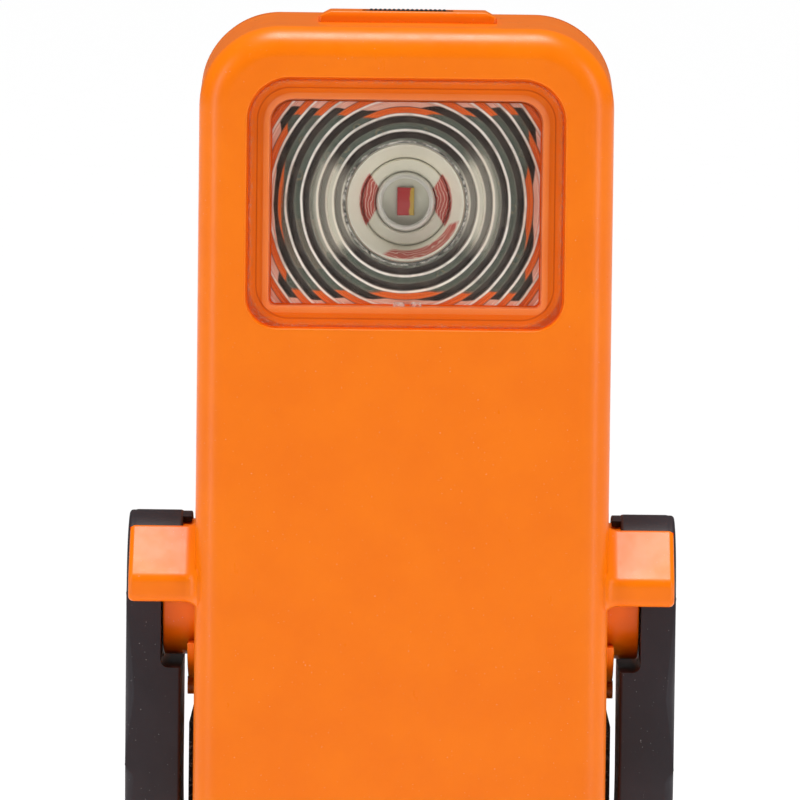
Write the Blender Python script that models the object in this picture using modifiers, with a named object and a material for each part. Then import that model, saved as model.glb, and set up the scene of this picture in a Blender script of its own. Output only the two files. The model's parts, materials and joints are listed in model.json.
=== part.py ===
"""Orange box-shaped hand lamp with a rectangular ring-lens window and a black swing handle.

Metres, +Z up. The lamp stands on its base at z = 0, its lit face looks along -Y and X runs across it.
"""

import math

import bmesh
import bpy
from mathutils import Matrix

COLLECTION_NAME = "firefighter_flashlight"
GAP = 0.0003  # clearance between pieces that touch

# Housing
FACE_Y = -0.031  # lit face
PART_Y = 0.0190  # plane where the rear pieces meet the front shell
BACK_Y = 0.0310  # back of the rear shell
HALF_WIDTH = 0.0400
REAR_HALF_WIDTH = 0.0409  # the mould draft widens the housing towards the back
BASE_Z = 0.0015  # the feet lift the housing by this much
TOP_Z = 0.1910
FACE_TOP_Z = 0.1890  # the top slopes down to the lit face
TOP_RADIUS = 0.0155
BOTTOM_RADIUS = 0.0080
FACE_FILLET = 0.0058
BACK_FILLET = 0.0030
WALL = 0.0025

# Battery cover
COVER_TOP_Z = 0.0546
COVER_SHOULDER_Z = 0.0488
COVER_HALF_WIDTH = 0.0422
COVER_BACK_Y = 0.0330

# Lamp window
LENS_Z = 0.1552
WINDOW_HALF = (0.0304, 0.0239)
OPENING_HALF = (0.0263, 0.01995)
WINDOW_BACK_Y = -0.0290
LENS_FRONT_Y = -0.0268
LENS_BACK_Y = -0.0246
LENS_SHELF = 0.0020  # width of the step that the ring lens rests on
TUBE_END_Y = -0.0160
OPTIC_SCREW_X = 0.0325

# Swing handle and the hubs that it turns on
PIVOT_Z = 0.0780
BOSS_RADIUS = 0.0134
BOSS_END_X = 0.0467
HUB_RADIUS = 0.0151
HUB_PLATE_X = 0.0470
WASHER_SEAT_X = 0.0478
WASHER_SEAT_RADIUS = 0.0098
POCKET_CORNER = 0.0016
ARM_INNER_X = 0.0430
ARM_OUTER_X = 0.0538
LEDGE_Z = 0.0633
LUG_RADIUS = 0.0181  # the fixed stop under each boss
LUG_DROP = 0.0098  # its flat top is this far below the pivot
LUG_END_X = 0.0418
TAB_ANGLES = (62, 108)  # the stop on the arm, which meets the fixed stop at the end of the swing
TAB_RADII = (0.0137, 0.0149)
TAB_INNER_X = 0.0413
KNEE_Z = 0.0440
KNEE_RADIUS = 0.0270
KNEE_ANGLE = math.radians(78)
BAR_RUN = 0.0260  # straight length of the arm after the knee
BAR_HALF_WIDTH = 0.0103
BAR_RADIUS = 0.0070
SLEEVE_RADIUS = 0.0100

# Switch on the top plateau
PLATEAU_Z = 0.1920
PLATEAU_HALF = 0.0154
PLATEAU_Y = (-0.0115, 0.0160)
BUTTON_HALF = 0.00865
BUTTON_Y = (-0.0066, 0.0080)
BUTTON_TOP_Z = 0.1922
SWITCH_Y = 0.0007

# Screws that hold the rear pieces
CASE_SCREWS = ((0.0318, 0.1819), (0.0342, 0.0620))
COVER_SCREWS = ((0.0342, 0.0455), (0.0342, 0.0092))
POST_RADIUS = 0.0046
POST_END_Y = 0.0169

# Charge contacts in the base
CONTACT_X = 0.0120
CONTACT_Y = -0.0080

# Cells
CELL_RADIUS = 0.0091
CELL_HALF_LENGTH = 0.0250
CELL_PLACES = ((0.0010, 0.0156), (0.0010, 0.0346), (0.0200, 0.0156), (0.0200, 0.0346))

for old in list(bpy.data.objects):
    bpy.data.objects.remove(old, do_unlink=True)

parts = bpy.data.collections.new(COLLECTION_NAME)
cutters = bpy.data.collections.new("cutters")
bpy.context.scene.collection.children.link(parts)
bpy.context.scene.collection.children.link(cutters)


def make_material(name, colour, roughness, metallic=0.0):
    made = bpy.data.materials.new(name)
    made.use_nodes = True
    shader = made.node_tree.nodes["Principled BSDF"]
    shader.inputs["Base Color"].default_value = (*colour, 1.0)
    shader.inputs["Roughness"].default_value = roughness
    shader.inputs["Metallic"].default_value = metallic
    return made


ORANGE = make_material("orange_plastic", (0.92, 0.195, 0.004), 0.35)
DARK = make_material("textured_dark_plastic", (0.06, 0.06, 0.065), 0.75)
BLACK = make_material("black_plastic", (0.037, 0.029, 0.034), 0.45)
RUBBER = make_material("black_rubber", (0.02, 0.02, 0.02), 0.8)
CLEAR = make_material("clear_plastic", (0.85, 0.85, 0.85), 0.08)
WHITE = make_material("white_plastic", (0.75, 0.73, 0.66), 0.4)
RED = make_material("red_silicone", (0.6, 0.04, 0.03), 0.45)
BOARD = make_material("green_board", (0.03, 0.12, 0.09), 0.4)
ALUMINIUM = make_material("aluminium", (0.72, 0.72, 0.74), 0.35, 1.0)
STEEL = make_material("steel", (0.6, 0.6, 0.62), 0.3, 1.0)
BRASS = make_material("brass", (0.78, 0.58, 0.25), 0.3, 1.0)
BLUE = make_material("cell_wrap", (0.03, 0.12, 0.35), 0.4)


def spot(axis, u, v, w):
    """A point with its outline coordinates u, v across the axis and w along it."""
    return {"X": (w, u, v), "Y": (u, w, v), "Z": (u, v, w)}[axis]


def arc(centre_u, centre_v, radius, start, end, steps):
    """Points of a circle's arc, angles in degrees, both ends included."""
    turn = [math.radians(start + (end - start) * i / steps) for i in range(steps + 1)]
    return [(centre_u + radius * math.cos(a), centre_v + radius * math.sin(a)) for a in turn]


def rounded_rect(half, low, high, r_low, r_high, steps=6):
    """Outline of an upright rectangle with its own corner radii at the bottom and the top."""
    points = arc(half - r_high, high - r_high, r_high, 0, 90, steps)
    points += arc(r_high - half, high - r_high, r_high, 90, 180, steps)
    points += arc(r_low - half, low + r_low, r_low, 180, 270, steps)
    return points + arc(half - r_low, low + r_low, r_low, 270, 360, steps)


def add_prism(bm, points, axis, start, end):
    """Extrude an outline along an axis, and return the solid's edges at its far end."""
    face = bm.faces.new([bm.verts.new(spot(axis, u, v, start)) for u, v in points])
    made = bmesh.ops.extrude_face_region(bm, geom=[face], use_keep_orig=True)["geom"]
    verts = [item for item in made if isinstance(item, bmesh.types.BMVert)]
    index = "XYZ".index(axis)
    for vert in verts:
        vert.co[index] = end
    return [item for item in made if isinstance(item, bmesh.types.BMEdge)]


def add_box(bm, low, high):
    size = [b - a for a, b in zip(low, high)]
    centre = [(a + b) / 2 for a, b in zip(low, high)]
    bmesh.ops.create_cube(bm, size=1.0, matrix=Matrix.Translation(centre) @ Matrix.Diagonal((*size, 1.0)))


def add_rod(bm, radius, axis, at, start, end, segments=20):
    """A cylinder along an axis; at is where its centre line crosses the other two axes."""
    turn = {"X": Matrix.Rotation(math.pi / 2, 4, "Y"), "Y": Matrix.Rotation(math.pi / 2, 4, "X"),
            "Z": Matrix.Identity(4)}[axis]
    centre = Matrix.Translation(spot(axis, *at, (start + end) / 2))
    bmesh.ops.create_cone(bm, cap_ends=True, cap_tris=False, segments=segments, radius1=radius,
                          radius2=radius, depth=abs(end - start), matrix=centre @ turn)


def soften(bm, edges, width, steps=2):
    bmesh.ops.bevel(bm, geom=edges, offset=width, offset_type="OFFSET", segments=steps, profile=0.5,
                    affect="EDGES")


def edges_where(bm, test):
    """Edges with both ends passing a test on their position."""
    return [edge for edge in bm.edges if all(test(vert.co) for vert in edge.verts)]


def finish_mesh(bm, name):
    bmesh.ops.recalc_face_normals(bm, faces=bm.faces)
    mesh = bpy.data.meshes.new(name)
    bm.to_mesh(mesh)
    bm.free()
    mesh.shade_smooth()
    mesh.set_sharp_from_angle(angle=math.radians(35))
    return mesh


def add_part(name, bm, material, smooth=True):
    mesh = finish_mesh(bm, name)
    if not smooth:
        mesh.shade_flat()
    made = bpy.data.objects.new(name, mesh)
    mesh.materials.append(material)
    parts.objects.link(made)
    return made


def combine(target, operation, name, bm):
    """Union with, or cut by, a helper solid that stays out of the model."""
    helper = bpy.data.objects.new(name, finish_mesh(bm, name))
    cutters.objects.link(helper)
    helper.hide_render = True
    helper.display_type = "WIRE"
    step = target.modifiers.new(name, "BOOLEAN")
    step.operation = operation
    step.solver = "EXACT"
    step.object = helper


AXIS_TURNS = {"+X": (0, math.pi / 2, 0), "-X": (0, -math.pi / 2, 0), "+Y": (-math.pi / 2, 0, 0),
              "-Y": (math.pi / 2, 0, 0), "+Z": (0, 0, 0), "-Z": (math.pi, 0, 0)}


def add_turned(name, profile, towards, at, material, steps=16, ring=False):
    """Turn a profile of (radius, height) points, listed down its outer side, about an axis."""
    mesh = bpy.data.meshes.new(name)
    edges = [(i, i + 1) for i in range(len(profile) - 1)]
    if ring:
        edges.append((len(profile) - 1, 0))
    mesh.from_pydata([(r, 0, h) for r, h in profile], edges, [])
    mesh.materials.append(material)
    made = bpy.data.objects.new(name, mesh)
    made.location = at
    made.rotation_euler = AXIS_TURNS[towards]
    screw = made.modifiers.new("turn", "SCREW")
    screw.axis = "Z"
    screw.steps = steps
    screw.render_steps = steps
    screw.use_merge_vertices = True
    screw.merge_threshold = 0.00001
    screw.use_smooth_shade = True
    parts.objects.link(made)
    return made


def add_tub(name, points, face_y, open_y, fillet, spread, material, steps=4):
    """A shell with one closed face, a rounded edge around it and side walls that open towards open_y.

    spread is how much wider (x) and taller (z, measured from the base) the open end is.
    """
    bm = bmesh.new()
    face = bm.faces.new([bm.verts.new((x, face_y, z)) for x, z in points])
    made = bmesh.ops.extrude_edge_only(bm, edges=list(face.edges))["geom"]
    for item in made:
        if isinstance(item, bmesh.types.BMVert):
            item.co.y = open_y
            item.co.x *= spread[0]
            item.co.z = BASE_Z + (item.co.z - BASE_Z) * spread[1]
    bmesh.ops.recalc_face_normals(bm, faces=bm.faces)
    soften(bm, list(face.edges), fillet, steps)
    bmesh.ops.recalc_face_normals(bm, faces=bm.faces)
    outward = math.copysign(1, face_y - open_y)
    biggest = max(bm.faces, key=lambda f: f.calc_area() * (abs(f.normal.y) > 0.9))
    if biggest.normal.y * outward < 0:
        bmesh.ops.reverse_faces(bm, faces=bm.faces)
    mesh = bpy.data.meshes.new(name)
    bm.to_mesh(mesh)
    bm.free()
    mesh.shade_smooth()
    mesh.set_sharp_from_angle(angle=math.radians(35))
    mesh.materials.append(material)
    made = bpy.data.objects.new(name, mesh)
    parts.objects.link(made)
    shell = made.modifiers.new("wall", "SOLIDIFY")
    shell.thickness = WALL
    shell.offset = -1.0
    shell.use_even_offset = True
    return made


def add_empty(name, at):
    made = bpy.data.objects.new(name, None)
    made.location = at
    parts.objects.link(made)
    return made


def hang_on(parent, child):
    """Parent a piece to its joint's empty and leave it where it is."""
    child.parent = parent
    child.matrix_parent_inverse = Matrix.Translation(parent.location).inverted()


# ---------------------------------------------------------------- housing


def guard_outline():
    """Side view (y, z) of the wedge that shields the front of each hub."""
    back_y = -0.0167
    front_y = -0.0270
    low_z = 0.0773
    top_z = 0.0914
    crest_y = -0.0178
    brow_z = 0.0822
    chin = arc(front_y + 0.0020, low_z + 0.0020, 0.0020, 180, 270, 3)
    return [(back_y, top_z), (crest_y, top_z), (front_y, brow_z), *chin, (back_y, low_z)]


def stop_lug_outline():
    """Side view (y, z) of the fixed stop: the part of a disc that lies below a level line."""
    reach = math.degrees(math.asin(LUG_DROP / LUG_RADIUS))
    return arc(0.0, PIVOT_Z, LUG_RADIUS, 180 + reach, 360 - reach, 14)


def build_front_shell():
    outline = rounded_rect(HALF_WIDTH, BASE_Z, FACE_TOP_Z, BOTTOM_RADIUS, TOP_RADIUS, 7)
    spread = (REAR_HALF_WIDTH / HALF_WIDTH, (TOP_Z - BASE_Z) / (FACE_TOP_Z - BASE_Z))
    shell = add_tub("front_shell", outline, FACE_Y, PART_Y - GAP, FACE_FILLET, spread, ORANGE)

    bm = bmesh.new()
    pad_half = (WINDOW_HALF[0] + 0.0020, WINDOW_HALF[1] + 0.0020)
    add_prism(bm, rounded_rect(pad_half[0], LENS_Z - pad_half[1], LENS_Z + pad_half[1], 0.004, 0.006, 3),
              "Y", FACE_Y + 0.0015, FACE_Y + 0.0055)
    plateau = [(-0.0173, 0.1888), (0.0173, 0.1888), (0.0173, TOP_Z - 0.0001), (PLATEAU_HALF, PLATEAU_Z),
               (-PLATEAU_HALF, PLATEAU_Z), (-0.0173, TOP_Z - 0.0001)]
    add_prism(bm, plateau, "Y", *PLATEAU_Y)
    for side in (-1, 1):
        add_rod(bm, BOSS_RADIUS, "X", (0.0, PIVOT_Z), side * 0.0385, side * BOSS_END_X, 32)
        for x, z in CASE_SCREWS + COVER_SCREWS:
            add_rod(bm, POST_RADIUS, "Y", (side * x, z), 0.0040, POST_END_Y, 12)
    combine(shell, "UNION", "front_bosses", bm)

    bm = bmesh.new()
    tube_half = (OPENING_HALF[0] + 0.0022, OPENING_HALF[1] + 0.0022)
    add_prism(bm, rounded_rect(tube_half[0], LENS_Z - tube_half[1], LENS_Z + tube_half[1], 0.003, 0.006, 3),
              "Y", FACE_Y + 0.0040, TUBE_END_Y)
    for side in (-1, 1):
        add_prism(bm, stop_lug_outline(), "X", side * 0.0388, side * LUG_END_X)
        add_rod(bm, 0.0032, "Y", (side * OPTIC_SCREW_X, LENS_Z), FACE_Y + 0.0015, -0.0170, 12)
    combine(shell, "UNION", "lugs_and_tube", bm)

    bm = bmesh.new()
    for side in (-1, 1):
        ends = add_prism(bm, guard_outline(), "X", side * 0.0378, side * 0.0530)
        soften(bm, ends, 0.0010)
        add_rod(bm, 0.0018, "X", (0.0, PIVOT_Z - 0.0196), side * 0.0390, side * 0.0420, 10)
        add_rod(bm, 0.0078, "X", (0.0, PIVOT_Z), side * 0.0395, side * 0.0310, 16)
    combine(shell, "UNION", "hub_guards", bm)

    bm = bmesh.new()
    recess = (WINDOW_HALF[0] + GAP, WINDOW_HALF[1] + GAP)
    add_prism(bm, rounded_rect(recess[0], LENS_Z - recess[1], LENS_Z + recess[1], 0.0060, 0.0083),
              "Y", FACE_Y - 0.0010, WINDOW_BACK_Y + GAP)
    add_box(bm, (-BUTTON_HALF - GAP, BUTTON_Y[0] - GAP, 0.1850),
            (BUTTON_HALF + GAP, BUTTON_Y[1] + GAP, 0.1940))
    for side in (-1, 1):
        add_rod(bm, 0.0027, "X", (0.0, PIVOT_Z), side * 0.0325, side * 0.0490, 14)
        add_rod(bm, 0.0026, "Z", (side * CONTACT_X, CONTACT_Y), 0.0, 0.0060, 14)
        add_rod(bm, 0.0014, "Y", (side * OPTIC_SCREW_X, LENS_Z), -0.0270, -0.0160, 10)
        for x, z in CASE_SCREWS + COVER_SCREWS:
            add_rod(bm, 0.0018, "Y", (side * x, z), 0.0060, 0.0180, 10)
    combine(shell, "DIFFERENCE", "front_holes", bm)

    bm = bmesh.new()
    add_prism(bm, rounded_rect(OPENING_HALF[0], LENS_Z - OPENING_HALF[1], LENS_Z + OPENING_HALF[1],
                               0.0012, 0.0045, 4), "Y", FACE_Y - 0.0020, LENS_BACK_Y + GAP)
    combine(shell, "DIFFERENCE", "window_opening", bm)
    bm = bmesh.new()
    inner = (OPENING_HALF[0] - LENS_SHELF, OPENING_HALF[1] - LENS_SHELF)
    add_prism(bm, rounded_rect(inner[0], LENS_Z - inner[1], LENS_Z + inner[1], 0.0006, 0.0030, 4),
              "Y", LENS_BACK_Y, TUBE_END_Y + 0.0020)
    combine(shell, "DIFFERENCE", "tube_inside", bm)


def add_screw_sleeves(shell, places, back_y, name):
    """Tubes inside a rear piece that carry its screws, and the countersunk holes from outside."""
    bm = bmesh.new()
    for side in (-1, 1):
        for x, z in places:
            add_rod(bm, 0.0034, "Y", (side * x, z), PART_Y + 0.0013, back_y - 0.0015, 12)
    combine(shell, "UNION", name + "_sleeves", bm)
    bm = bmesh.new()
    for side in (-1, 1):
        for x, z in places:
            add_rod(bm, 0.0018, "Y", (side * x, z), PART_Y - 0.0010, back_y - 0.0026, 10)
    combine(shell, "DIFFERENCE", name + "_bores", bm)
    bm = bmesh.new()
    for side in (-1, 1):
        for x, z in places:
            add_rod(bm, 0.0030, "Y", (side * x, z), back_y - 0.0030, back_y + 0.0010, 16)
    combine(shell, "DIFFERENCE", name + "_head_seats", bm)


def build_rear_shell():
    half = REAR_HALF_WIDTH
    outline = arc(half - TOP_RADIUS, TOP_Z - TOP_RADIUS, TOP_RADIUS, 0, 90, 7)
    outline += arc(TOP_RADIUS - half, TOP_Z - TOP_RADIUS, TOP_RADIUS, 90, 180, 7)
    outline += [(-half, COVER_TOP_Z + GAP), (half, COVER_TOP_Z + GAP)]
    shell = add_tub("rear_shell", outline, BACK_Y, PART_Y, BACK_FILLET, (1.0, 1.0), ORANGE, steps=3)
    bm = bmesh.new()
    for i in range(5):
        z = 0.0960 + 0.0085 * i
        add_box(bm, (-0.0240, BACK_Y - 0.0010, z), (0.0240, BACK_Y + 0.0010, z + 0.0035))
    combine(shell, "DIFFERENCE", "back_grooves", bm)
    add_screw_sleeves(shell, CASE_SCREWS, BACK_Y, "case")


def build_battery_cover():
    half = COVER_HALF_WIDTH
    corner = BOTTOM_RADIUS + 0.0003
    outline = [(half, COVER_SHOULDER_Z), (half - 0.0014, COVER_TOP_Z),
               (0.0014 - half, COVER_TOP_Z), (-half, COVER_SHOULDER_Z)]
    outline += arc(corner - half, BASE_Z + corner, corner, 180, 270, 6)
    outline += arc(half - corner, BASE_Z + corner, corner, 270, 360, 6)
    cover = add_tub("battery_cover", outline, COVER_BACK_Y, PART_Y, BACK_FILLET, (1.0, 1.0), DARK, steps=3)
    add_screw_sleeves(cover, COVER_SCREWS, COVER_BACK_Y, "cover")


def build_seals():
    for name, half, low, high, r_low, r_high, y in (
        ("shell_seal", 0.0380, 0.0044, 0.1880, 0.0050, 0.0126, (0.0172, 0.0186)),
        ("cover_seal", 0.0394, 0.0044, 0.0516, 0.0052, 0.0030, (0.0193, 0.0207)),
    ):
        thick = 0.0013
        bm = bmesh.new()
        add_prism(bm, rounded_rect(half, low, high, r_low, r_high, 4), "Y", *y)
        seal = add_part(name, bm, RUBBER)
        bm = bmesh.new()
        inner = rounded_rect(half - thick, low + thick, high - thick, r_low - thick, r_high - thick, 4)
        add_prism(bm, inner, "Y", y[0] - 0.001, y[1] + 0.001)
        combine(seal, "DIFFERENCE", name + "_inside", bm)


def build_feet():
    """A rubber pad under the front shell, open around the charge contacts, and a strip under the cover."""
    bm = bmesh.new()
    half_depth = 0.0210
    corner = 0.0060
    outline = [(x, y - 0.0045) for x, y in rounded_rect(0.0300, -half_depth, half_depth, corner, corner, 4)]
    add_prism(bm, outline, "Z", 0.0, BASE_Z - GAP)
    soften(bm, edges_where(bm, lambda co: co.z < 0.0001), 0.0003, 1)
    pad = add_part("base_pad", bm, RUBBER)
    bm = bmesh.new()
    for side in (-1, 1):
        add_rod(bm, 0.0042, "Z", (side * CONTACT_X, CONTACT_Y), -0.0010, 0.0020, 18)
    combine(pad, "DIFFERENCE", "contact_windows", bm)

    bm = bmesh.new()
    add_box(bm, (-0.0280, 0.0205, 0.0), (0.0280, 0.0285, BASE_Z - GAP))
    soften(bm, edges_where(bm, lambda co: co.z < 0.0001), 0.0003, 1)
    add_part("rear_foot", bm, RUBBER)


def build_charge_contacts():
    for name, side in (("charge_contact_left", -1), ("charge_contact_right", 1)):
        add_turned(name, [(0, 0.0056), (0.0023, 0.0056), (0.0023, 0.0016), (0.0019, 0.0012), (0, 0.0012)],
                   "+Z", (side * CONTACT_X, CONTACT_Y, 0), BRASS, 14)


# ---------------------------------------------------------------- optics


def build_window():
    bm = bmesh.new()
    outline = rounded_rect(WINDOW_HALF[0], LENS_Z - WINDOW_HALF[1], LENS_Z + WINDOW_HALF[1], 0.0057, 0.0080)
    add_prism(bm, outline, "Y", FACE_Y, WINDOW_BACK_Y)
    soften(bm, edges_where(bm, lambda co: co.y < FACE_Y + 0.0001), 0.0003, 1)
    add_part("window_cover", bm, CLEAR)


def build_ring_lens():
    half = (OPENING_HALF[0] - 0.0004, OPENING_HALF[1] - 0.0004)
    bm = bmesh.new()
    add_prism(bm, rounded_rect(half[0], LENS_Z - half[1], LENS_Z + half[1], 0.0010, 0.0042, 4),
              "Y", LENS_FRONT_Y, LENS_BACK_Y)
    lens = add_part("ring_lens", bm, CLEAR)
    for i in range(3):
        radius = 0.0141 + 0.0060 * i
        bm = bmesh.new()
        add_rod(bm, radius, "Y", (0.0, LENS_Z), -0.0275, -0.0262, 40)
        inner = bmesh.new()
        add_rod(inner, radius - 0.0020, "Y", (0.0, LENS_Z), -0.0280, -0.0258, 40)
        ring = add_part("ring_groove", bm, CLEAR)
        parts.objects.unlink(ring)
        cutters.objects.link(ring)
        ring.name = "ring_groove_" + str(i)
        ring.hide_render = True
        ring.display_type = "WIRE"
        combine(ring, "DIFFERENCE", "ring_core_" + str(i), inner)
        cut = lens.modifiers.new("groove", "BOOLEAN")
        cut.operation = "DIFFERENCE"
        cut.solver = "EXACT"
        cut.object = ring


def build_light_source():
    dish = [(0.0116, 0.0240), (0.0098, 0.0170), (0.0093, 0.0160), (0.0055, 0.0160),
            (0.0055, 0.0170), (0.0086, 0.0170), (0.0108, 0.0240)]
    add_turned("reflector_dish", dish, "-Y", (0, 0, LENS_Z), WHITE, 28, ring=True)
    ring = [(0.0084, 0.0182), (0.0084, 0.0175), (0.0060, 0.0175), (0.0060, 0.0182)]
    add_turned("led_seal_ring", ring, "-Y", (0, 0, LENS_Z), RED, 24, ring=True)
    dome_base = 0.0182
    dome = [(0.0050 * math.sin(a), dome_base + 0.0008 + 0.0042 * math.cos(a))
            for a in (math.pi / 2 * i / 5 for i in range(6))]
    dome[0] = (0, dome[0][1])
    add_turned("led_dome", dome + [(0.0050, dome_base), (0, dome_base)], "-Y", (0, 0, LENS_Z), CLEAR, 20)
    add_turned("led_base", [(0, 0.0170), (0.0051, 0.0170), (0.0051, 0.0160), (0, 0.0160)],
               "-Y", (0, 0, LENS_Z), WHITE, 20)
    bm = bmesh.new()
    add_box(bm, (-0.0014, -0.0179, LENS_Z - 0.0023), (0.0014, -0.0173, LENS_Z + 0.0023))
    add_part("led_die", bm, RED, smooth=False)

    bm = bmesh.new()
    add_box(bm, (-0.0290, -0.0157, LENS_Z - 0.0230), (0.0290, -0.0141, LENS_Z + 0.0230))
    add_part("led_board", bm, BOARD, smooth=False)


def build_heat_sink():
    """A plate with upright fins, drawn as a comb seen from above."""
    half = 0.0355
    plate = (-0.0138, -0.0113)
    tip = -0.0045
    comb = [(-half, plate[0]), (half, plate[0]), (half, plate[1])]
    fins = 7
    pitch = 0.0080
    for i in reversed(range(fins)):
        middle = (i - (fins - 1) / 2) * pitch
        comb += [(middle + 0.0010, plate[1]), (middle + 0.0008, tip)]
        comb += [(middle - 0.0008, tip), (middle - 0.0010, plate[1])]
    comb.append((-half, plate[1]))
    bm = bmesh.new()
    add_prism(bm, comb, "Z", LENS_Z - 0.0205, LENS_Z + 0.0205)
    sink = add_part("heat_sink", bm, ALUMINIUM, smooth=False)
    bm = bmesh.new()
    for side in (-1, 1):
        add_rod(bm, 0.0014, "Y", (side * OPTIC_SCREW_X, LENS_Z), -0.0150, -0.0100, 10)
    combine(sink, "DIFFERENCE", "sink_holes", bm)
    for name, side in (("optic_screw_left", -1), ("optic_screw_right", 1)):
        add_screw(name, "+Y", (side * OPTIC_SCREW_X, -0.0110, LENS_Z), 0.0024, 0.0015, 0.0011, 0.0140)


def add_screw(name, towards, at, head_radius, head_height, shank_radius, length, steps=12):
    """A pan-head screw with a round drive recess; at is the underside of its head."""
    profile = [(0, head_height * 0.45), (head_radius * 0.45, head_height * 0.45),
               (head_radius * 0.45, head_height), (head_radius * 0.8, head_height),
               (head_radius, head_height * 0.6), (head_radius, 0), (shank_radius, 0),
               (shank_radius, -length), (0, -length)]
    return add_turned(name, profile, towards, at, STEEL, steps)


# ---------------------------------------------------------------- electronics


def build_boards():
    bm = bmesh.new()
    add_box(bm, (-0.0270, -0.0025, 0.1120), (0.0270, -0.0009, 0.1720))
    add_part("control_board", bm, BOARD, smooth=False)
    for name, low, high, material in (
        ("driver_chip", (-0.0060, -0.0006, 0.1420), (0.0060, 0.0014, 0.1540), BLACK),
        ("board_connector", (-0.0080, -0.0006, 0.1150), (0.0080, 0.0064, 0.1210), WHITE),
    ):
        bm = bmesh.new()
        add_box(bm, low, high)
        add_part(name, bm, material, smooth=False)
    add_turned("inductor",
               [(0, 0.0056), (0.0052, 0.0056), (0.0060, 0.0048), (0.0060, -0.0006), (0, -0.0006)],
               "+Y", (-0.0160, 0, 0.1480), BLACK, 16)
    add_turned("capacitor",
               [(0, 0.0110), (0.0042, 0.0110), (0.0050, 0.0102), (0.0050, -0.0006), (0, -0.0006)],
               "+Y", (0.0170, 0, 0.1480), ALUMINIUM, 16)


def build_wires():
    """Two leads from the cells' contacts up to the control board's plug."""
    for name, side, material in (("battery_lead_positive", 1, RED), ("battery_lead_negative", -1, BLACK)):
        stops = ((0.0268, -0.0060, 0.0470), (0.0275, -0.0062, 0.0560), (0.0240, -0.0058, 0.0700),
                 (0.0150, -0.0040, 0.0850), (0.0075, -0.0005, 0.0980), (0.0050, 0.0024, 0.1060),
                 (0.0046, 0.0032, 0.1146))
        data = bpy.data.curves.new(name, "CURVE")
        data.dimensions = "3D"
        data.bevel_depth = 0.0009
        data.bevel_resolution = 2
        data.use_fill_caps = True
        spline = data.splines.new("POLY")
        spline.points.add(len(stops) - 1)
        for point, (x, y, z) in zip(spline.points, stops):
            point.co = (side * x, y, z, 1)
        data.materials.append(material)
        made = bpy.data.objects.new(name, data)
        parts.objects.link(made)


def build_switch():
    pivot = add_empty("button_axis", (0, SWITCH_Y, BUTTON_TOP_Z))
    bm = bmesh.new()
    add_box(bm, (-BUTTON_HALF, BUTTON_Y[0], 0.1852), (BUTTON_HALF, BUTTON_Y[1], BUTTON_TOP_Z))
    soften(bm, edges_where(bm, lambda co: co.z > BUTTON_TOP_Z - 0.0001), 0.0003, 1)
    button = add_part("switch_button", bm, RUBBER)
    bm = bmesh.new()
    add_box(bm, (-0.0105, BUTTON_Y[0] - 0.0017, 0.1846), (0.0105, BUTTON_Y[1] + 0.0017, 0.1856))
    combine(button, "UNION", "button_flange", bm)
    bm = bmesh.new()
    add_rod(bm, 0.0015, "Z", (0, SWITCH_Y), 0.1830, 0.1849, 12)
    combine(button, "UNION", "button_stem", bm)
    plunger = add_turned("switch_plunger", [(0, 0.1827), (0.0017, 0.1827), (0.0017, 0.1813), (0, 0.1813)],
                         "+Z", (0, SWITCH_Y, 0), WHITE, 14)
    hang_on(pivot, button)
    hang_on(pivot, plunger)

    bm = bmesh.new()
    add_box(bm, (-0.0105, BUTTON_Y[0] - 0.0017, 0.1859), (0.0105, BUTTON_Y[1] + 0.0017, 0.1868))
    gasket = add_part("switch_gasket", bm, RUBBER, smooth=False)
    bm = bmesh.new()
    add_box(bm, (-BUTTON_HALF - GAP, BUTTON_Y[0] - GAP, 0.1850),
            (BUTTON_HALF + GAP, BUTTON_Y[1] + GAP, 0.1880))
    combine(gasket, "DIFFERENCE", "gasket_inside", bm)

    bm = bmesh.new()
    add_box(bm, (-0.0130, -0.0080, 0.1762), (0.0130, 0.0100, 0.1778))
    add_part("switch_board", bm, BOARD, smooth=False)
    bm = bmesh.new()
    add_box(bm, (-0.0034, SWITCH_Y - 0.0034, 0.1781), (0.0034, SWITCH_Y + 0.0034, 0.1821))
    tact = add_part("tact_switch", bm, BLACK, smooth=False)
    bm = bmesh.new()
    add_rod(bm, 0.0020, "Z", (0, SWITCH_Y), 0.1797, 0.1830, 14)
    combine(tact, "DIFFERENCE", "tact_bore", bm)


def build_battery():
    for i, (y, z) in enumerate(CELL_PLACES):
        end = CELL_HALF_LENGTH
        cap = [(0, end), (0.0030, end), (0.0030, end - 0.0015), (CELL_RADIUS - 0.0008, end - 0.0015),
               (CELL_RADIUS, end - 0.0023), (CELL_RADIUS, -end), (0, -end)]
        add_turned("battery_cell_" + str(i + 1), cap, "+X" if i % 2 else "-X", (0, y, z), BLUE, 18)
    inner = CELL_HALF_LENGTH + 0.0013
    outer = inner + 0.0015
    back_y = -0.0104
    channel = [(-outer, back_y), (outer, back_y), (outer, 0.0285), (inner, 0.0285),
               (inner, back_y + 0.0015),
               (-inner, back_y + 0.0015), (-inner, 0.0285), (-outer, 0.0285)]
    bm = bmesh.new()
    add_prism(bm, channel, "Z", 0.0060, 0.0460)
    add_part("battery_cradle", bm, WHITE, smooth=False)
    for name, side in (("cell_contact_left", -1), ("cell_contact_right", 1)):
        bm = bmesh.new()
        low_x, high_x = sorted((side * 0.0253, side * 0.0260))
        add_box(bm, (low_x, -0.0060, 0.0080), (high_x, 0.0270, 0.0430))
        add_part(name, bm, STEEL, smooth=False)


# ---------------------------------------------------------------- handle


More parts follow.
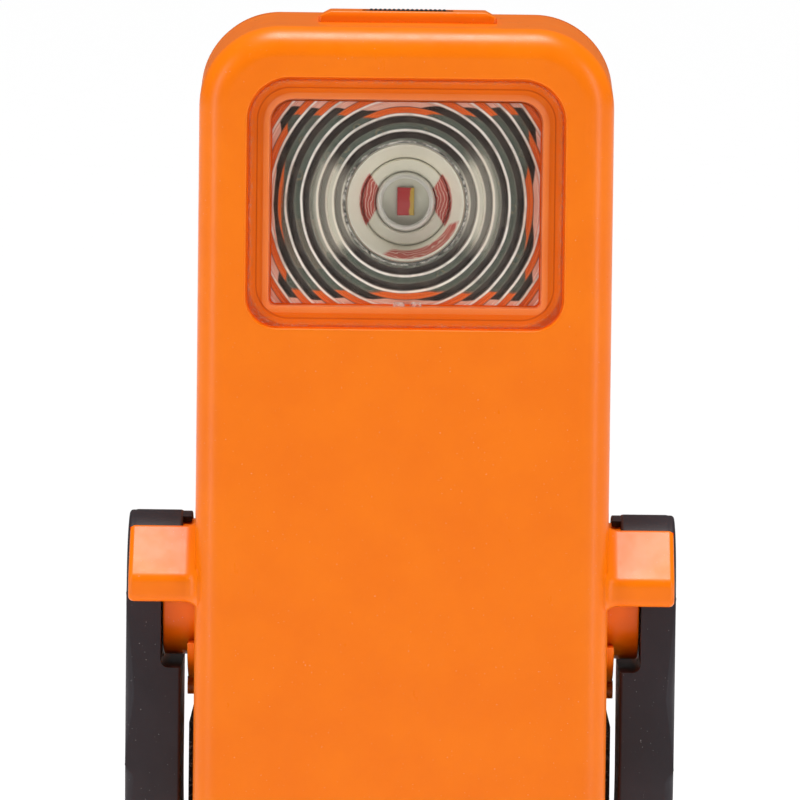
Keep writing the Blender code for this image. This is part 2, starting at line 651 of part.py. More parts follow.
def arm_outline():
    """Side view (y, z) of a handle arm: hub, straight leg, knee and the end around the grip bar."""
    knee_steps = 6
    spine = [(0.0, PIVOT_Z), (0.0, PIVOT_Z - 0.0200), (0.0, KNEE_Z)]
    normals = [(1.0, 0.0)] * 3
    for i in range(1, knee_steps + 1):
        turn = KNEE_ANGLE * i / knee_steps
        spine.append((KNEE_RADIUS * (1 - math.cos(turn)), KNEE_Z - KNEE_RADIUS * math.sin(turn)))
        normals.append((math.cos(turn), math.sin(turn)))
    end = bar_centre()
    spine.append(end)
    normals.append(normals[-1])
    widths = [HUB_RADIUS, HUB_RADIUS]
    taper = len(spine) - len(widths)
    widths += [HUB_RADIUS + (BAR_HALF_WIDTH - HUB_RADIUS) * (i + 1) / taper for i in range(taper)]
    rear = [(y + w * ny, z + w * nz) for (y, z), (ny, nz), w in zip(spine, normals, widths)]
    front = [(y - w * ny, z - w * nz) for (y, z), (ny, nz), w in zip(spine, normals, widths)]
    heading = math.degrees(KNEE_ANGLE)
    tip = arc(*end, BAR_HALF_WIDTH, heading, heading - 180, 10)
    hub = arc(0.0, PIVOT_Z, HUB_RADIUS, 180, 0, 18)
    return rear[1:-1] + tip + front[-2:0:-1] + hub


def bar_centre():
    """(y, z) of the grip bar's axis."""
    y = KNEE_RADIUS * (1 - math.cos(KNEE_ANGLE)) + BAR_RUN * math.sin(KNEE_ANGLE)
    z = KNEE_Z - KNEE_RADIUS * math.sin(KNEE_ANGLE) - BAR_RUN * math.cos(KNEE_ANGLE)
    return y, z


def build_arm(name, side):
    bm = bmesh.new()
    outer_edges = add_prism(bm, arm_outline(), "X", side * ARM_INNER_X, side * ARM_OUTER_X)
    soften(bm, outer_edges, 0.0019, 3)
    inner_edges = edges_where(bm, lambda co: abs(co.x) < ARM_INNER_X + 0.0001)
    soften(bm, inner_edges, 0.0006, 1)
    arm = add_part(name, bm, BLACK)

    bm = bmesh.new()
    pocket = arc(HUB_PLATE_X - POCKET_CORNER, LEDGE_Z + POCKET_CORNER, POCKET_CORNER, 270, 360, 3)
    pocket += [(HUB_PLATE_X, PIVOT_Z + 0.0040), (0.0400, PIVOT_Z + 0.0040), (0.0400, LEDGE_Z)]
    add_prism(bm, [(side * x, z) for x, z in pocket], "Y", -0.0200, 0.0200)
    combine(arm, "DIFFERENCE", name + "_ledge", bm)
    bm = bmesh.new()
    add_rod(bm, BOSS_RADIUS + 0.0005, "X", (0.0, PIVOT_Z), side * 0.0400, side * HUB_PLATE_X, 32)
    combine(arm, "DIFFERENCE", name + "_boss_seat", bm)
    bm = bmesh.new()
    add_rod(bm, WASHER_SEAT_RADIUS, "X", (0.0, PIVOT_Z), side * 0.0460, side * WASHER_SEAT_X, 24)
    combine(arm, "DIFFERENCE", name + "_washer_seat", bm)
    bm = bmesh.new()
    add_rod(bm, 0.0043, "X", (0.0, PIVOT_Z), side * 0.0460, side * 0.0512, 20)
    add_rod(bm, 0.0018, "X", bar_centre(), side * 0.0420, side * 0.0512, 12)
    combine(arm, "DIFFERENCE", name + "_bores", bm)
    bm = bmesh.new()
    add_rod(bm, 0.0073, "X", (0.0, PIVOT_Z), side * 0.0506, side * 0.0550, 24)
    add_rod(bm, 0.0044, "X", bar_centre(), side * 0.0506, side * 0.0550, 16)
    combine(arm, "DIFFERENCE", name + "_head_seats", bm)
    bm = bmesh.new()
    tab = arc(0.0, PIVOT_Z, TAB_RADII[1], *TAB_ANGLES, 6)
    tab += arc(0.0, PIVOT_Z, TAB_RADII[0], *TAB_ANGLES[::-1], 6)
    add_prism(bm, tab, "X", side * TAB_INNER_X, side * (ARM_INNER_X + 0.0015))
    combine(arm, "UNION", name + "_stop_tab", bm)
    return arm


def build_handle():
    pivot = add_empty("handle_pivot", (0, 0, PIVOT_Z))
    moving = []
    bar_y, bar_z = bar_centre()
    for word, side in (("left", -1), ("right", 1)):
        outward = "+X" if side > 0 else "-X"
        moving.append(build_arm("handle_arm_" + word, side))
        cap = [(0, 0.0535), (0.0064, 0.0535), (0.0069, 0.0531), (0.0069, 0.0524), (0, 0.0524)]
        moving.append(add_turned("hub_cap_" + word, cap, outward, (0, 0, PIVOT_Z), BLACK, 24))
        moving.append(add_screw("bar_screw_" + word, outward, (side * 0.0509, bar_y, bar_z),
                                0.0040, 0.0024, 0.0015, 0.0180, 14))

        shoulder = [(0, 0.0521), (0.0066, 0.0521), (0.0066, 0.0509), (0.0040, 0.0509), (0.0040, 0.0470),
                    (0.0024, 0.0470), (0.0024, 0.0330), (0, 0.0330)]
        add_turned("pivot_screw_" + word, shoulder, outward, (0, 0, PIVOT_Z), STEEL, 20)
        washer = [(0.0095, 0.0475), (0.0095, 0.0470), (0.0043, 0.0470), (0.0043, 0.0475)]
        add_turned("friction_washer_" + word, washer, outward, (0, 0, PIVOT_Z), WHITE, 20, ring=True)

    half = ARM_INNER_X - GAP
    bm = bmesh.new()
    add_rod(bm, BAR_RADIUS, "X", (bar_y, bar_z), -half, half, 20)
    bar = add_part("grip_bar", bm, BLACK)
    bm = bmesh.new()
    for side in (-1, 1):
        add_rod(bm, 0.0018, "X", (bar_y, bar_z), side * 0.0320, side * 0.0440, 12)
    combine(bar, "DIFFERENCE", "bar_bores", bm)
    moving.append(bar)

    end = 0.0385
    bore = BAR_RADIUS + GAP
    sleeve = [(SLEEVE_RADIUS - 0.0012, end), (SLEEVE_RADIUS, end - 0.0012),
              (SLEEVE_RADIUS, 0.0012 - end), (SLEEVE_RADIUS - 0.0012, -end), (bore, -end), (bore, end)]
    moving.append(add_turned("grip_sleeve", sleeve, "+X", (0, bar_y, bar_z), RUBBER, 24, ring=True))
    for piece in moving:
        hang_on(pivot, piece)


def build_case_screws():
    number = 0
    rows = ((CASE_SCREWS, BACK_Y, "case_screw_"), (COVER_SCREWS, COVER_BACK_Y, "cover_screw_"))
    for places, back_y, name in rows:
        for x, z in places:
            for side in (-1, 1):
                number += 1
                add_screw(name + str(number), "+Y", (side * x, back_y - 0.0025, z), 0.0027, 0.0020, 0.0015,
                          back_y - 0.0025 - 0.0080)
        number = 0


build_front_shell()
build_rear_shell()
build_battery_cover()
build_seals()
build_feet()
build_charge_contacts()
build_window()
build_ring_lens()
build_light_source()
build_heat_sink()
build_boards()
build_wires()
build_switch()
build_battery()
build_handle()
build_case_screws()
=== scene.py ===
import json
import math
import random

import bmesh
import bpy
from mathutils import Matrix, Vector


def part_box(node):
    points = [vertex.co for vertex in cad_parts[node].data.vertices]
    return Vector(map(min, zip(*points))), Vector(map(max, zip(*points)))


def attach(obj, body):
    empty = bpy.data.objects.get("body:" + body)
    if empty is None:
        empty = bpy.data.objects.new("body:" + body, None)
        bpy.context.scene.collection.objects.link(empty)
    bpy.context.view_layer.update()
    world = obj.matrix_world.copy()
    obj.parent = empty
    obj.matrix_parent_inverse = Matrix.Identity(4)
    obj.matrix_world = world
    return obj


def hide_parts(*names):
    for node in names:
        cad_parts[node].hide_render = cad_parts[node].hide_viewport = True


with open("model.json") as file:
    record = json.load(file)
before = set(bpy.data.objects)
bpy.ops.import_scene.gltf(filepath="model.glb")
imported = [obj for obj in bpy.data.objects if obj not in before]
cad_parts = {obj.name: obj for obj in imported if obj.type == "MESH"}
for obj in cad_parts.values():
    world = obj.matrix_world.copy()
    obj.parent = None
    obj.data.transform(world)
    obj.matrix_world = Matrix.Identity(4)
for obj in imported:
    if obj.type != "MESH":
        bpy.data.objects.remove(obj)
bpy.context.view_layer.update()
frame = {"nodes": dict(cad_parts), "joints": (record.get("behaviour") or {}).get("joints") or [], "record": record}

NODES = frame["nodes"]
SLOT_OF = {part["node"]: part["material_slot"] for part in frame["record"]["subparts"]}
JOINTS = {joint["name"]: joint for joint in frame["joints"]}

# Places, read from the frame
PIVOT_Z = JOINTS["handle_swing"]["pos_m"][2]
FACE_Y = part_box("window_cover")[0][1]
WINDOW_BACK_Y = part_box("window_cover")[1][1]
WINDOW_HALF_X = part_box("window_cover")[1][0]
WINDOW_LOW_Z, WINDOW_HIGH_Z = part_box("window_cover")[0][2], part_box("window_cover")[1][2]
LENS_Z = (WINDOW_LOW_Z + WINDOW_HIGH_Z) / 2
WINDOW_HALF_Z = (WINDOW_HIGH_Z - WINDOW_LOW_Z) / 2
LENS_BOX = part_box("ring_lens")
LENS_FRONT_Y, LENS_BACK_Y = LENS_BOX[0][1], LENS_BOX[1][1]
OPENING_HALF = (LENS_BOX[1][0] + 0.0004, LENS_BOX[1][2] - LENS_Z + 0.0004)
SHELL_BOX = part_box("front_shell")
REAR_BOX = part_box("rear_shell")
COVER_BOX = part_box("battery_cover")
BUTTON_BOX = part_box("switch_button")
GASKET_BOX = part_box("switch_gasket")
ARM_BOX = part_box("handle_arm_right")
BAR_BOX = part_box("grip_bar")
SLEEVE_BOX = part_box("grip_sleeve")
PAD_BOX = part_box("base_pad")

# Sizes of the housing
BASE_Z = SHELL_BOX[0][2]
PLATEAU_Z = SHELL_BOX[1][2]
TOP_Z = REAR_BOX[1][2]
FACE_TOP_Z = 0.1890  # the top slopes down to the lit face
PART_Y = SHELL_BOX[1][1]
HALF_WIDTH = 0.0400
REAR_HALF_WIDTH = REAR_BOX[1][0]
TOP_RADIUS = 0.0155
BOTTOM_RADIUS = 0.0080
FACE_FILLET = 0.0058
BACK_FILLET = 0.0030
WALL = 0.0025
CLEARANCE = 0.0003

# Sizes of the hubs and the handle
BOSS_RADIUS = 0.0134
BOSS_END_X = 0.0467
LUG_RADIUS = 0.0181
LUG_DROP = 0.0098
LUG_END_X = 0.0418
TAB_ANGLES = (62, 108)
TAB_RADII = (0.0137, 0.0149)
GUARD_END_X = SHELL_BOX[1][0]
HUB_RADIUS = 0.0151
HUB_PLATE_X = 0.0470
POCKET_CORNER = 0.0016
TAB_INNER_X, ARM_OUTER_X = ARM_BOX[0][0], ARM_BOX[1][0]
ARM_INNER_X = 0.0430
LEDGE_Z = 0.0633
KNEE_Z = 0.0440
KNEE_RADIUS = 0.0270
KNEE_ANGLE = math.radians(78)
BAR_HALF_WIDTH = 0.01024
BAR_Y = (BAR_BOX[0][1] + BAR_BOX[1][1]) / 2
BAR_Z = (BAR_BOX[0][2] + BAR_BOX[1][2]) / 2

# Rings of the lens
RING_PITCH = 0.00302
FIRST_RING = 0.01417
CORE_RADIUS = 0.0120
RING_HEIGHT = 0.0006


# ---------------------------------------------------------------- node trees


class Paint:
    """A material's node tree, with one short call for each kind of node used here."""

    def __init__(self, name):
        self.material = bpy.data.materials.new(name)
        self.material.use_nodes = True
        self.tree = self.material.node_tree
        self.tree.nodes.clear()
        self.output = self.tree.nodes.new("ShaderNodeOutputMaterial")
        self.place = self.tree.nodes.new("ShaderNodeTexCoord").outputs["Object"]

    def node(self, kind, inputs=None, **settings):
        made = self.tree.nodes.new("ShaderNode" + kind)
        for key, value in settings.items():
            setattr(made, key, value)
        for key, value in (inputs or {}).items():
            if isinstance(value, bpy.types.NodeSocket):
                self.tree.links.new(value, made.inputs[key])
            else:
                made.inputs[key].default_value = value
        return made

    def math(self, operation, a, b=0.0, clamp=False):
        return self.node("Math", {0: a, 1: b}, operation=operation, use_clamp=clamp).outputs[0]

    def product(self, *values):
        result = values[0]
        for value in values[1:]:
            result = self.math("MULTIPLY", result, value)
        return result

    def total(self, a, b):
        return self.math("ADD", a, b)

    def less(self, a, b):
        return self.math("SUBTRACT", a, b)

    def size(self, value):
        return self.math("ABSOLUTE", value)

    def larger(self, a, b):
        return self.math("MAXIMUM", a, b)

    def length(self, a, b):
        return self.math("SQRT", self.total(self.product(a, a), self.product(b, b)))

    def noise(self, scale, detail=2.0, roughness=0.5, stretch=None):
        place = self.place
        if stretch:
            place = self.node("Mapping", {"Vector": place, "Scale": stretch}).outputs[0]
        inputs = {"Vector": place, "Scale": scale, "Detail": detail, "Roughness": roughness}
        return self.node("TexNoise", inputs).outputs["Fac"]

    def ramp(self, value, stops, constant=False):
        """Colour and alpha outputs of a ramp with (position, rgba) stops."""
        made = self.node("ValToRGB", {"Fac": value})
        ramp = made.color_ramp
        ramp.interpolation = "CONSTANT" if constant else "LINEAR"
        while len(ramp.elements) < len(stops):
            ramp.elements.new(1.0)
        for element, (position, colour) in zip(ramp.elements, stops):
            element.position = position
            element.color = colour if len(colour) == 4 else (*colour, 1.0)
        return made.outputs["Color"], made.outputs["Alpha"]

    def span(self, value, low, high, low_to=0.0, high_to=1.0):
        """value moved from the range low..high to low_to..high_to, clamped."""
        made = self.node("MapRange", {"Value": value, "From Min": low, "From Max": high,
                                      "To Min": low_to, "To Max": high_to})
        return made.outputs[0]

    def mix(self, share, a, b):
        made = self.node("Mix", data_type="RGBA")
        for key, value in ((0, share), (6, a), (7, b)):
            if isinstance(value, bpy.types.NodeSocket):
                self.tree.links.new(value, made.inputs[key])
            elif key:
                made.inputs[key].default_value = (*value, 1.0)
            else:
                made.inputs[key].default_value = value
        return made.outputs[2]

    def blend(self, share, a, b):
        return self.node("MixShader", {0: share, 1: a, 2: b}).outputs[0]

    def bump(self, height, strength, distance):
        made = self.node("Bump", {"Height": height, "Strength": strength, "Distance": distance})
        return made.outputs[0]

    def surface(self, shader):
        self.tree.links.new(shader, self.output.inputs["Surface"])
        return self.material

    def plain(self, colour, roughness, metallic=0.0, normal=None, **extra):
        inputs = {"Base Color": colour, "Roughness": roughness, "Metallic": metallic}
        if isinstance(colour, tuple):
            inputs["Base Color"] = (*colour, 1.0)
        if normal:
            inputs["Normal"] = normal
        inputs.update(extra)
        return self.node("BsdfPrincipled", inputs).outputs[0]


def moulded(name, light, dark, roughness, grain, grain_strength, gloss=0.5, coat=0.0):
    """Moulded plastic: a faint mottle in colour and gloss, a fine grain, and a few pale dust specks."""
    paint = Paint(name)
    mottle = paint.noise(70, 4.0, 0.6)
    speck = paint.span(paint.noise(2300, 1.0), 0.76, 0.80)
    tone = paint.mix(paint.span(mottle, 0.35, 0.65), light, dark)
    dusted = paint.mix(paint.product(speck, 0.35), tone, tuple(0.5 + 0.5 * c for c in light))
    worn = paint.span(paint.noise(260, 5.0, 0.7, (1, 1, 0.35)), 0.3, 0.75, roughness - 0.05, roughness + 0.07)
    height = paint.total(paint.noise(grain, 2.0), paint.product(mottle, 0.5))
    normal = paint.bump(height, grain_strength, 0.00006)
    return paint.surface(paint.plain(dusted, worn, 0.0, normal, **{
        "Coat Weight": coat, "Coat Roughness": 0.25, "Specular IOR Level": gloss}))


def speckled_plastic():
    """Coarsely grained dark plastic whose raised grains are rubbed pale."""
    paint = Paint("speckled_dark_plastic")
    grain = paint.noise(1500, 3.0, 0.65)
    broad = paint.noise(60, 3.0)
    rubbed = paint.span(grain, 0.52, 0.68)
    tone = paint.mix(rubbed, (0.030, 0.029, 0.031), (0.26, 0.25, 0.25))
    tone = paint.mix(paint.product(broad, 0.35), tone, (0.05, 0.048, 0.05))
    gloss = paint.span(rubbed, 0.0, 1.0, 0.72, 0.5)
    return paint.surface(paint.plain(tone, gloss, 0.0, paint.bump(grain, 0.9, 0.0003)))


def rubber():
    paint = Paint("matte_rubber")
    fine = paint.noise(1900, 3.0, 0.6)
    dust = paint.span(paint.noise(140, 5.0, 0.7), 0.45, 0.8)
    tone = paint.mix(paint.product(dust, 0.4), (0.016, 0.015, 0.016), (0.055, 0.052, 0.05))
    gloss = paint.span(dust, 0, 1, 0.62, 0.85)
    return paint.surface(paint.plain(tone, gloss, 0.0, paint.bump(fine, 0.5, 0.0001)))


def metal(name, colour, roughness, stretch):
    """Bare metal with fine lines along one way and a little tarnish."""
    paint = Paint(name)
    lines = paint.noise(900, 3.0, 0.6, stretch)
    stain = paint.span(paint.noise(300, 4.0), 0.4, 0.75)
    tone = paint.mix(paint.product(stain, 0.35), colour, tuple(c * 0.55 for c in colour))
    gloss = paint.span(lines, 0.3, 0.7, roughness - 0.08, roughness + 0.12)
    return paint.surface(paint.plain(tone, gloss, 1.0, paint.bump(lines, 0.25, 0.00005)))


def coloured(name, light, dark, roughness, scale=400, strength=0.2):
    """A plain solid with a gentle change of tone and a light texture."""
    paint = Paint(name)
    cloud = paint.noise(scale, 4.0, 0.6)
    tone = paint.mix(paint.span(cloud, 0.35, 0.7), light, dark)
    gloss = paint.span(cloud, 0.3, 0.7, roughness - 0.06, roughness + 0.06)
    return paint.surface(paint.plain(tone, gloss, 0.0, paint.bump(cloud, strength, 0.0001)))


def board_mask():
    """Green solder mask over copper: paler lines of tracks show through it."""
    paint = Paint("circuit_board")
    brick = paint.node("TexBrick", {
        "Vector": paint.node("Mapping", {"Vector": paint.place, "Rotation": (math.pi / 2, 0, 0)}).outputs[0],
        "Scale": 260.0, "Mortar Size": 0.06,
        "Color1": (0.030, 0.135, 0.105, 1), "Color2": (0.036, 0.155, 0.120, 1),
        "Mortar": (0.075, 0.19, 0.15, 1)})
    cloud = paint.span(paint.noise(180, 3.0), 0.35, 0.7)
    tone = paint.mix(paint.product(cloud, 0.5), brick.outputs["Color"], (0.024, 0.075, 0.062))
    return paint.surface(paint.plain(tone, paint.span(cloud, 0, 1, 0.3, 0.45), 0.0,
                                     paint.bump(brick.outputs["Fac"], 0.3, 0.0001)))


def lamps_pass(paint, shader):
    """Let light through to what lies behind a clear piece."""
    clear = paint.node("BsdfTransparent", {"Color": (0.995, 0.995, 0.99, 1.0)}).outputs[0]
    return paint.blend(paint.node("LightPath").outputs["Is Shadow Ray"], shader, clear)


def see_through(paint, tint, roughness, haze, haze_colour=(0.9, 0.9, 0.88), normal=None):
    """A clear shader: straight through, with gloss by angle and a share of pale haze."""
    tint = tint if isinstance(tint, bpy.types.NodeSocket) else (*tint, 1.0)
    clear = paint.node("BsdfTransparent", {"Color": tint}).outputs[0]
    gloss_inputs = {"Color": (1, 1, 1, 1), "Roughness": roughness}
    angle_inputs = {"IOR": 1.13}
    if normal:
        gloss_inputs["Normal"] = normal
        angle_inputs["Normal"] = normal
    gloss = paint.node("BsdfAnisotropic", gloss_inputs).outputs[0]
    angle = paint.node("Fresnel", angle_inputs).outputs[0]
    glazed = paint.blend(angle, clear, gloss)
    solid = paint.plain(haze_colour, 0.35, 0.0, normal)
    return paint.blend(haze, glazed, solid)


def radius_from_lens(paint):
    """Distance from the lens axis, in metres, at each point of a piece."""
    split = paint.node("SeparateXYZ", {0: paint.place})
    return paint.length(split.outputs["X"], paint.less(split.outputs["Z"], LENS_Z)), split


def window_plastic():
    """Clear cover: polished in the middle, with a rough welded edge and fine scuffs."""
    paint = Paint("window_plastic")
    split = paint.node("SeparateXYZ", {0: paint.place})
    reach_x = paint.less(paint.size(split.outputs["X"]), WINDOW_HALF_X - 0.0080)
    lift = paint.size(paint.less(split.outputs["Z"], LENS_Z))
    reach_z = paint.less(lift, WINDOW_HALF_Z - 0.0080)
    reach_x = paint.larger(reach_x, 0.0)
    reach_z = paint.larger(reach_z, 0.0)
    reach = paint.length(reach_x, reach_z)
    edge = paint.span(reach, 0.0068, 0.0076)
    crumbs = paint.span(paint.noise(2600, 4.0, 0.8), 0.50, 0.68)
    scuff = paint.span(paint.noise(500, 4.0, 0.75, (1, 1, 4)), 0.66, 0.80)
    haze = paint.total(paint.product(paint.product(edge, crumbs), 0.30),
                      paint.product(scuff, 0.03))
    normal = paint.bump(paint.product(edge, crumbs), 0.5, 0.0002)
    beyond = paint.larger(paint.less(paint.size(split.outputs["X"]), OPENING_HALF[0]),
                        paint.less(lift, OPENING_HALF[1]))
    tint = paint.mix(paint.span(beyond, 0.0002, 0.0008), (0.995, 0.993, 0.985), (0.99, 0.95, 0.80))
    rim = paint.span(reach, 0.0075, 0.0078)
    inner = paint.product(paint.span(reach, 0.0062, 0.0063), paint.span(reach, 0.0064, 0.0065, 1.0, 0.0))
    line = paint.larger(rim, inner)
    tint = paint.mix(line, tint, (0.86, 0.70, 0.55))
    return paint.surface(lamps_pass(paint, see_through(paint, tint, 0.04, haze, (1.0, 0.62, 0.36), normal)))


def ring_plastic():
    """Prism rings painted by radius: bright ridge lines that are painted highlights, clear facets that show the
    board behind, and dark facets that are a painted reflection of the dark housing.
    """
    paint = Paint("ring_lens_plastic")
    radius, split = radius_from_lens(paint)
    wobble = paint.product(paint.less(paint.noise(120, 2.0), 0.5), 0.0005)
    start = FIRST_RING - 0.08 * RING_PITCH
    phase = paint.less(paint.total(radius, wobble), start)
    phase = paint.math("FRACT", paint.math("DIVIDE", phase, RING_PITCH))
    # bright ridge lines here are painted highlights; the dark facets are a painted reflection of the dark housing
    colour, cover = paint.ramp(phase, (
        (0.00, (0.62, 0.60, 0.54, 0.90)), (0.04, (0.95, 0.94, 0.88, 1.0)), (0.13, (0.90, 0.88, 0.82, 0.95)),
        (0.18, (0.20, 0.23, 0.19, 0.40)), (0.50, (0.28, 0.31, 0.25, 0.42)),
        (0.56, (0.10, 0.095, 0.085, 0.80)), (0.60, (0.045, 0.036, 0.032, 0.93)),
        (0.94, (0.055, 0.044, 0.039, 0.93)), (1.00, (0.30, 0.28, 0.25, 0.9))))
    cloud = paint.noise(260, 3.0, 0.6)
    murk = paint.mix(paint.span(cloud, 0.45, 0.70, 0.0, 0.4), colour, (0.15, 0.12, 0.10))
    # painted pale reflections at both sides of the middle lens
    rise = paint.size(paint.less(split.outputs["Z"], LENS_Z))
    reach = paint.size(split.outputs["X"])
    patches = paint.product(paint.less(paint.noise(90, 2.0), 0.5), 0.012)
    beside = paint.less(reach, paint.product(rise, 1.05))
    beside = paint.span(paint.total(beside, patches), 0.0015, 0.0075)
    near = paint.span(radius, 0.0170, 0.0192, 1.0, 0.0)
    open_facet = paint.span(phase, 0.52, 0.58, 1.0, 0.30)
    painted_side_reflection = paint.product(paint.product(beside, near), open_facet)
    murk = paint.mix(paint.product(painted_side_reflection, 0.85), murk, (0.80, 0.76, 0.64))
    # the orange tube wall, painted as seen through the clear facets, and its painted pale reflections in the
    # others
    edge_x = paint.less(reach, OPENING_HALF[0])
    edge_z = paint.less(rise, OPENING_HALF[1])
    depth = paint.total(paint.larger(edge_x, edge_z), paint.product(patches, 0.25))
    clear_facet = paint.product(paint.span(phase, 0.14, 0.18), paint.span(phase, 0.52, 0.58, 1.0, 0.0))
    orange_part = paint.product(paint.span(depth, -0.0030, -0.0027), clear_facet)
    pink_part = paint.product(paint.span(depth, -0.0014, -0.0012), paint.span(phase, 0.56, 0.62))
    murk = paint.mix(orange_part, murk, (0.80, 0.17, 0.04))
    murk = paint.mix(pink_part, murk, (0.85, 0.52, 0.42))
    edge = paint.larger(orange_part, pink_part)
    cover = paint.larger(cover, paint.larger(paint.product(edge, 0.9),
                                                    paint.product(painted_side_reflection, 0.8)))
    outside_core = paint.span(radius, CORE_RADIUS - 0.0001, CORE_RADIUS + 0.0001)
    # the rim of the middle lens, a band of bright and dark flecks
    rim = paint.product(paint.span(radius, CORE_RADIUS - 0.0004, CORE_RADIUS - 0.0002),
                     paint.span(radius, CORE_RADIUS, CORE_RADIUS + 0.0004, 1.0, 0.0))
    flecks = paint.span(paint.noise(900, 3.0, 0.7), 0.42, 0.62)
    tone = paint.mix(rim, murk, paint.mix(flecks, (0.07, 0.06, 0.055), (0.80, 0.77, 0.70)))
    haze = paint.product(cover, outside_core)
    haze = paint.larger(haze, paint.product(rim, 0.7))
    clear = see_through(paint, (0.995, 0.995, 0.99), 0.05, 0.0)
    solid = paint.plain(tone, 0.22, **{"Specular IOR Level": 0.15})
    return paint.surface(lamps_pass(paint, paint.blend(haze, clear, solid)))


def clear_moulding():
    """Clear plastic for small clips and tabs."""
    paint = Paint("clear_moulding")
    haze = paint.span(paint.noise(1200), 0.4, 0.7, 0.1, 0.45)
    return paint.surface(see_through(paint, (0.95, 0.93, 0.92), 0.1, haze))


def dome_silicone():
    """Clear silicone dome over the LED: it bends what is inside, and lamps still reach through it."""
    paint = Paint("dome_silicone")
    inputs = {"Color": (1.0, 1.0, 0.99, 1.0), "Roughness": 0.02, "IOR": 1.18}
    return paint.surface(lamps_pass(paint, paint.node("BsdfGlass", inputs).outputs[0]))


def dish_enamel():
    """Cream enamel with red patches, crossed by pale wavy lines, at both sides and the lower edge."""
    paint = Paint("cream_dish_enamel")
    radius, split = radius_from_lens(paint)
    rise = paint.less(split.outputs["Z"], LENS_Z)
    wobble = paint.product(paint.noise(420, 2.0), 0.0016)
    wave = paint.math("FRACT", paint.math("DIVIDE", paint.total(radius, wobble), 0.00055))
    line = paint.product(paint.span(wave, 0.66, 0.76), paint.span(wave, 0.92, 1.0, 1.0, 0.0))
    red = paint.mix(line, (0.60, 0.10, 0.075), (0.86, 0.55, 0.46))
    reach = paint.size(split.outputs["X"])
    lift = paint.size(paint.less(rise, 0.0008))
    slant = paint.less(reach, paint.product(lift, 0.62))
    sides = paint.span(paint.total(slant, paint.product(wobble, 0.3)), 0.0042, 0.0046)
    sides = paint.product(sides, paint.span(radius, 0.0088, 0.0091, 1.0, 0.0))
    low = paint.less(paint.product(split.outputs["X"], 0.45), rise)
    foot = paint.product(paint.span(low, 0.0078, 0.0084), paint.span(radius, 0.0093, 0.0096))
    foot = paint.product(foot, paint.span(radius, 0.0108, 0.0110, 1.0, 0.0))
    cream = paint.mix(paint.noise(300, 2.0), (0.94, 0.91, 0.80), (0.86, 0.82, 0.69))
    tone = paint.mix(paint.larger(sides, foot), cream, red)
    return paint.surface(paint.plain(tone, 0.32, 0.0, paint.bump(line, 0.2, 0.0001)))


def die_material():
    """The LED's die: red phosphor with a yellow side."""
    paint = Paint("led_die_red_yellow")
    split = paint.node("SeparateXYZ", {0: paint.place})
    wobble = paint.product(paint.less(paint.noise(900, 2.0), 0.5), 0.0010)
    slant = paint.total(paint.less(split.outputs["X"], wobble), 0.0)
    yellow = paint.span(slant, 0.0006, 0.0008)
    tone = paint.mix(yellow, (0.60, 0.025, 0.03), (0.72, 0.45, 0.06))
    return paint.surface(paint.plain(tone, 0.3, 0.0, paint.bump(paint.noise(1500), 0.4, 0.0001)))


MATERIALS = {
    "orange_plastic": moulded("orange_satin_plastic", (0.960, 0.200, 0.0008), (0.925, 0.182, 0.0006), 0.32,
                              2600, 0.10, 0.24),
    "textured_dark_plastic": speckled_plastic(),
    "black_plastic": moulded("black_satin_plastic", (0.032, 0.025, 0.030), (0.025, 0.020, 0.024), 0.44,
                             2200, 0.30, 0.22),
    "black_rubber": rubber(),
    "clear_plastic": window_plastic(),
    "white_plastic": coloured("off_white_plastic", (0.74, 0.72, 0.63), (0.68, 0.66, 0.56), 0.35),
    "red_silicone": coloured("red_silicone_insulation", (0.56, 0.04, 0.03), (0.48, 0.03, 0.025), 0.42),
    "green_board": board_mask(),
    "aluminium": metal("milled_aluminium", (0.74, 0.74, 0.76), 0.32, (1, 1, 0.05)),
    "steel": metal("zinc_plated_steel", (0.62, 0.61, 0.60), 0.28, (1, 0.2, 1)),
    "brass": metal("contact_brass", (0.80, 0.60, 0.28), 0.25, (1, 1, 1)),
    "cell_wrap": coloured("cell_wrap_film", (0.03, 0.11, 0.33), (0.025, 0.09, 0.28), 0.3, 150, 0.1),
}

for name, node in NODES.items():
    node.data.materials.clear()
    node.data.materials.append(MATERIALS[SLOT_OF[name]])


# ---------------------------------------------------------------- shapes


def spot(axis, u, v, w):
    """A point with its outline coordinates u, v across the axis and w along it."""
    return {"X": (w, u, v), "Y": (u, w, v), "Z": (u, v, w)}[axis]


def arc(centre_u, centre_v, radius, start, end, steps):
    """Points of a circle's arc, angles in degrees, both ends included."""
    turn = [math.radians(start + (end - start) * i / steps) for i in range(steps + 1)]
    return [(centre_u + radius * math.cos(a), centre_v + radius * math.sin(a)) for a in turn]


def rounded_rect(half, low, high, r_low, r_high, steps=14):
    points = arc(half - r_high, high - r_high, r_high, 0, 90, steps)
    points += arc(r_high - half, high - r_high, r_high, 90, 180, steps)
    points += arc(r_low - half, low + r_low, r_low, 180, 270, steps)
    return points + arc(half - r_low, low + r_low, r_low, 270, 360, steps)


def add_prism(bm, points, axis, start, end):
    """Extrude an outline along an axis, and return the edges at the far end."""
    face = bm.faces.new([bm.verts.new(spot(axis, u, v, start)) for u, v in points])
    made = bmesh.ops.extrude_face_region(bm, geom=[face], use_keep_orig=True)["geom"]
    index = "XYZ".index(axis)
    for item in made:
        if isinstance(item, bmesh.types.BMVert):
            item.co[index] = end
    return [item for item in made if isinstance(item, bmesh.types.BMEdge)]


def add_box(bm, low, high):
    size = [abs(b - a) for a, b in zip(low, high)]
    centre = [(a + b) / 2 for a, b in zip(low, high)]
    bmesh.ops.create_cube(bm, size=1.0, matrix=Matrix.Translation(centre) @ Matrix.Diagonal((*size, 1.0)))


